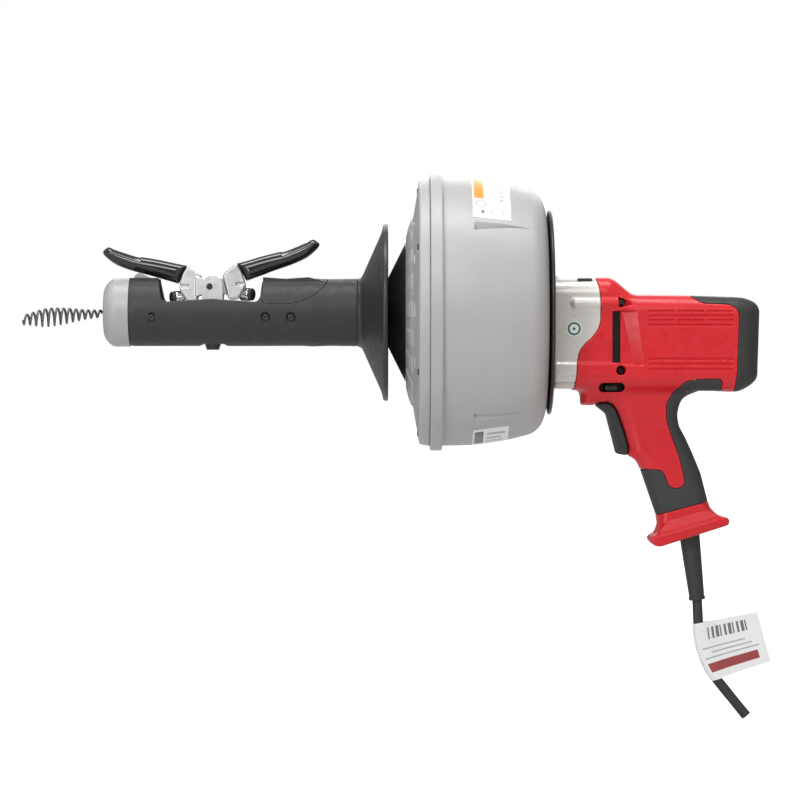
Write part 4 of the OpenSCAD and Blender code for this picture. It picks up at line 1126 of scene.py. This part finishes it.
def lever_fields(mirrored):
    shift = BODY_REACH if mirrored else 0
    inner, outer = (3.2, 6.0) if mirrored else (6.4, 9.2)
    spin = joint("retract_roller_spin" if mirrored else "advance_roller_spin")
    centre, axis = np.array(spin["pos_m"]) / MM - PIVOT, np.array(spin["axis"])
    if mirrored:
        c, s = math.cos(REST_DIFFERENCE), math.sin(REST_DIFFERENCE)
        centre, axis = [np.array([-(p[0] * c + p[2] * s), p[1], p[2] * c - p[0] * s])
                        for p in (centre, axis)]

    def casting(x, y, z):
        body = rounded_plate(casting_side(x + shift, z), y, 8, 1.6)
        arms = np.hypot(x, z) - 6
        arms = smooth_min(arms, arm_side(x + shift * np.clip(-x / 10, 0, 1), z), 1)
        between = np.abs(np.abs(y) - (inner + outer) / 2) - (outer - inner) / 2
        arms = smooth_max(arms, between, 0.6)
        body = smooth_min(body, arms, 1.2)
        notch = np.maximum(np.maximum(np.abs(z - 1 - 0.02 * x) - 1.3, x + shift + 18.6), 6 - np.abs(y))
        body = cut(body, notch, 0.8)
        body = cut(body, np.hypot(x, z) - 2.6, 0.4)
        dx, dy, dz = x - centre[0], y - centre[1], z - centre[2]
        along = dx * axis[0] + dy * axis[1] + dz * axis[2]
        aside = np.sqrt(np.maximum(dx ** 2 + dy ** 2 + dz ** 2 - along ** 2, 0))
        return cut(body, np.maximum(aside - 6.7, np.abs(along) - 9), 0.5)

    def vinyl(x, y, z):
        side = vinyl_side(x + shift, z)
        step = 0.8 * smoothstep(-60, -61, x + shift) * smoothstep(-88, -84, x + shift)
        middle = np.interp(x + shift, [-94, -60, -24], [31.5, 19.5, 10.5])
        return rounded_plate(side + step * smoothstep(1, 3, z - middle), y, 9.3, 8)

    return casting, vinyl


def make_levers():
    """The retract lever is the advance lever's mirror image, with a longer reach and its arms further in"""
    for mirrored, body in ((False, "advance_lever"), (True, "retract_lever")):
        casting, vinyl = lever_fields(mirrored)
        place = lever_place(mirrored)
        shift = BODY_REACH if mirrored else 0
        made = skin(body + "_casting", casting, (-29 - shift, -10, -14), (7, 10, 20), 0.5, place=place)
        dress(made, body, "cast_alloy", body)
        low, high = (-97 - shift, -10, 1), (-18 - shift, 10, 38)
        made = skin(body + "_vinyl", vinyl, low, high, 0.6, place=place)
        dress(made, body, "black_vinyl", body + "_grip")


def axle(name):
    """Middle, in millimetres, and axis of a roller's joint"""
    spin = joint(name + "_spin")
    return np.array(spin["pos_m"]) / MM, spin["axis"]


def make_rollers():
    """Crowned rollers on their joints' axes. A lever's roller has a black end ring on its outer side and turns
    on a stub axle in the lever; an idler turns with its pin."""
    barrel = [(-4.5, 2.1), (-4.5, 5.2), (-3.9, 5.95), (-1.6, 6), (1.6, 6), (3.9, 5.95), (4.5, 5.2),
              (4.5, 2.1)]
    barrel = stepped(eased(barrel, 0.5), 1)
    cap = [(-7.5, 2.1), (-7.5, 3.6), (-7.1, 5.1), (-6.3, 5.5), (-4.7, 5.5), (-4.7, 2.1)]
    cap = stepped(eased(cap, 0.35), 1)
    stub = [(-8.2, 0), (-8.2, 2.6), (-7.7, 3.1), (-7.5, 1.9), (8, 1.9), (8.4, 1.4), (8.4, 0)]
    stub = eased(stub, 0.3, closed=False)
    pin = [(-7.4, 0), (-7.4, 1.7), (-7.1, 2.0), (7.1, 2.0), (7.4, 1.7), (7.4, 0)]
    for lever in ("advance", "retract"):
        name = lever + "_roller"
        dress(turn(name + "_barrel", barrel, *axle(name), 72), name, "chrome_steel", name)
        dress(turn(name + "_end_ring", cap, *axle(name), 72), name, "black_plastic")
        made = turn(name + "_axle", stub, *axle(name), 32, closed=False)
        dress(made, lever + "_lever", "dark_steel")
    for name in ("front_idler", "rear_idler"):
        dress(turn(name + "_barrel", barrel, *axle(name), 72), name, "chrome_steel", name)
        dress(turn(name + "_axle", pin, *axle(name), 32, closed=False), name, "bright_steel")


# ---- Cord ----

RELIEF_AT = np.array((492, 0, -198.0))
RELIEF_TILT = math.radians(6.7)
BEND_AT = np.array((499.6, 0, -278.0))
BEND_R = 80
BEND_TO = math.radians(39)


def down(tilt):
    return np.array((math.sin(tilt), 0, -math.cos(tilt)))


def cord_points():
    """The cord's middle line, and the angle at each point of its bend"""
    kink = RELIEF_AT + 56 * down(RELIEF_TILT)
    start = math.atan2(BEND_AT[0] - kink[0], kink[2] - BEND_AT[2])

    def bend(angle):
        across, drop = math.cos(start) - math.cos(angle), math.sin(start) - math.sin(angle)
        return BEND_AT + BEND_R * np.array((across, 0, drop))

    tail = bend(BEND_TO) + down(BEND_TO) * 38.5
    path = [RELIEF_AT - 38 * down(RELIEF_TILT), kink, BEND_AT]
    path += [bend(a) for a in np.linspace(start, BEND_TO, 14)[1:]] + [tail]
    return path, bend


def make_cord():
    path, bend = cord_points()
    path = stepped(path, 2.0, closed=False)
    radius = corners("power_cord")[1][1]
    bulge = radius + 0.06 * np.sin(np.arange(len(path)) * 0.37)
    dress(sweep("cord_jacket", path, bulge, 40), "motor_unit", "black_rubber", "power_cord")

    sleeve = [(-16, 4.5, 0.3), (-16, 10.4, 0.5), (-12, 10.4, 0.5), (-12, 6.5, 0.3), (-5, 6.5, 0.3),
              (-5, 8.9, 0.8), (5, 8.6, 1.5), (30, 7.6, 8), (52, 6.7, 0.6), (52.4, 7.3, 0.4),
              (55, 7.2, 0.5), (55.2, 6.2, 0.4), (55.2, 4.5, 0.3)]
    made = turn("strain_relief_sleeve", rounded_profile(sleeve, 2.5), RELIEF_AT, down(RELIEF_TILT), 96)
    dress(made, "motor_unit", "black_rubber", "strain_relief")

    bars = [("bar", 0.56, 0.70, 0.93, 0.86, (0.35, 0.06, 0.06))]
    for i in range(3):
        down_to = 0.60 - 0.085 * i
        bars.append(("bar", 0.56 + 0.06 * (i % 2), down_to, 0.95 - 0.04 * (i % 3), down_to + 0.025, PALE_INK))
    for i in range(10):
        start = 0.62 + 0.03 * i
        bars.append(("bar", start, 0.1, start + 0.01 + 0.006 * (i % 3), 0.3, INK))
    paper = finish("tag_print", PAPER, 0.4, 0.2, 0.006, mottle=0.015, prints=bars)
    near = [bend(a) for a in np.radians(np.linspace(-1, 37, 40))]
    # Top and bottom of the tag's free edge
    free = np.array([(551.5, 0, -263.2), (563.5, 0, -307.2)])

    def surface(u, v):
        """v runs down the cord, and u from the back leaf's free edge, round the cord, to the front leaf's"""
        place = np.stack([np.interp(v, np.linspace(0, 1, 40), [p[k] for p in near]) for k in (0, 2)], -1)
        edge = np.stack([free[0, k] + (free[1, k] - free[0, k]) * v for k in (0, 2)], -1)
        leaf = edge - place
        length = np.linalg.norm(leaf, axis=-1)
        leaf = leaf / length[..., None]
        wrap = 0.12
        side = np.where(u > 0.5, -1, 1)
        m = np.abs(u - 0.5) * 2
        round_cord = m < wrap
        angle = np.pi / 2 * m / wrap
        hold = radius + 0.55
        d = (m - wrap) / (1 - wrap) * length
        out = np.where(round_cord, -hold * np.cos(angle), d)
        closing = 0.25 + (hold - 0.25) * (1 - smoothstep(0, 20, d))
        curl = 1.5 * np.sin(np.clip(d / length, 0, 1) * np.pi) * (v - 0.4)
        y = np.where(round_cord, side * hold * np.sin(angle), side * closing + curl)
        spot = place + leaf * out[..., None]
        return np.stack([spot[..., 0], y, spot[..., 1]], -1)

    made = sheet("cord_tag_sheet", surface, 120, 40, 0.22)
    dress(made, "motor_unit", "tag_paper", "cord_tag", material=paper)


# ---- CAD parts that keep their own shape ----

def make_cad_finishes():
    """Gives every CAD node its finish, and softens the edges of the nodes that show"""
    for node, made in frame["nodes"].items():
        made.data.materials.clear()
        made.data.materials.append(MATERIALS[NODE_SLOT[node]])
        if made.hide_render:
            continue
        weld = made.modifiers.new("weld", "WELD")
        weld.merge_threshold = 1e-6
        bevel = made.modifiers.new("edges", "BEVEL")
        bevel.width = 0.35 * MM
        bevel.segments = 2
        bevel.limit_method = "ANGLE"
        bevel.angle_limit = math.radians(40)
        bevel.harden_normals = False


# ---- Stage ----

def make_stage():
    """A white floor and surround, five soft lights and the camera"""
    scene = bpy.context.scene
    scene.view_settings.view_transform = "Standard"
    low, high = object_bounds()
    middle = (low + high) / 2

    floor_mesh = bpy.data.meshes.new("floor")
    size, level = 30, low[2] - 0.012
    places = ((-size, -size), (size, -size), (size, size), (-size, size))
    floor_mesh.from_pydata([(*place, level) for place in places], [], [(0, 1, 2, 3)])
    floor = bpy.data.objects.new("floor", floor_mesh)
    scene.collection.objects.link(floor)
    pale = bpy.data.materials.new("pale_floor")
    pale.use_nodes = True
    surface = pale.node_tree.nodes["Principled BSDF"]
    surface.inputs["Base Color"].default_value = (0.6, 0.6, 0.6, 1)
    surface.inputs["Roughness"].default_value = 0.9
    surface.inputs["Specular IOR Level"].default_value = 0
    surface.inputs["Emission Color"].default_value = (1, 1, 1, 1)
    looked_at = add(pale.node_tree, "LightPath").outputs["Is Camera Ray"]
    pale.node_tree.links.new(looked_at, surface.inputs["Emission Strength"])
    floor_mesh.materials.append(pale)

    world = bpy.data.worlds.new("studio")
    scene.world = world
    world.use_nodes = True
    tree = world.node_tree
    tree.nodes.clear()
    direction = add(tree, "TexCoord").outputs["Generated"]
    up = add(tree, "SeparateXYZ", {0: direction}).outputs[2]
    light = add(tree, "ValToRGB", {0: ranged(tree, up, 0, 1, -1, 1)})
    ramp = light.color_ramp
    ramp.elements[0].color = (0.2, 0.2, 0.2, 1)
    ramp.elements[1].color = (0.5, 0.5, 0.5, 1)
    ramp.elements.new(0.5).color = (0.22, 0.22, 0.22, 1)
    seen = add(tree, "LightPath").outputs["Is Camera Ray"]
    colour = mixed(tree, seen, light.outputs[0], (1, 1, 1, 1))
    background = add(tree, "Background", {"Color": colour, "Strength": 1.0})
    add(tree, "OutputWorld", {"Surface": background.outputs[0]})

    target = Vector((middle[0], 0, middle[2]))
    for name, place, size, power in (
            ("key_light", (-0.3, -2.2, 1.3), (1.5, 0.8), 22),
            ("top_light", (0.2, -0.2, 1.6), (1.8, 0.5), 21),
            ("side_light", (-0.9, -1.9, 0.1), (0.4, 1.0), 9),
            ("fill_light", (1.4, -1.7, 0.2), (0.8, 1.2), 3),
            ("back_light", (0.4, 1.8, 0.9), (1.6, 0.8), 9)):
        data = bpy.data.lights.new(name, "AREA")
        data.shape = "RECTANGLE"
        data.size, data.size_y = size
        data.energy = power
        lamp = bpy.data.objects.new(name, data)
        lamp.location = place
        lamp.rotation_euler = (target - lamp.location).to_track_quat("-Z", "Y").to_euler()
        scene.collection.objects.link(lamp)

    camera_data = bpy.data.cameras.new("camera")
    camera = bpy.data.objects.new("camera", camera_data)
    distance, frame_width = 2.8, 0.704
    camera.location = (0.237, -distance, -0.077)
    camera.rotation_euler = (math.pi / 2, 0, 0)
    camera_data.sensor_width = 36
    camera_data.lens = camera_data.sensor_width * distance / frame_width
    scene.collection.objects.link(camera)
    scene.camera = camera


make_shells()
make_mouldings()
make_trigger()
make_vents()
make_screws()
make_drum()
make_labels()
make_guards()
make_cable()
make_grip()
make_lever_pads()
make_levers()
make_rollers()
make_cord()
make_cad_finishes()
make_stage()
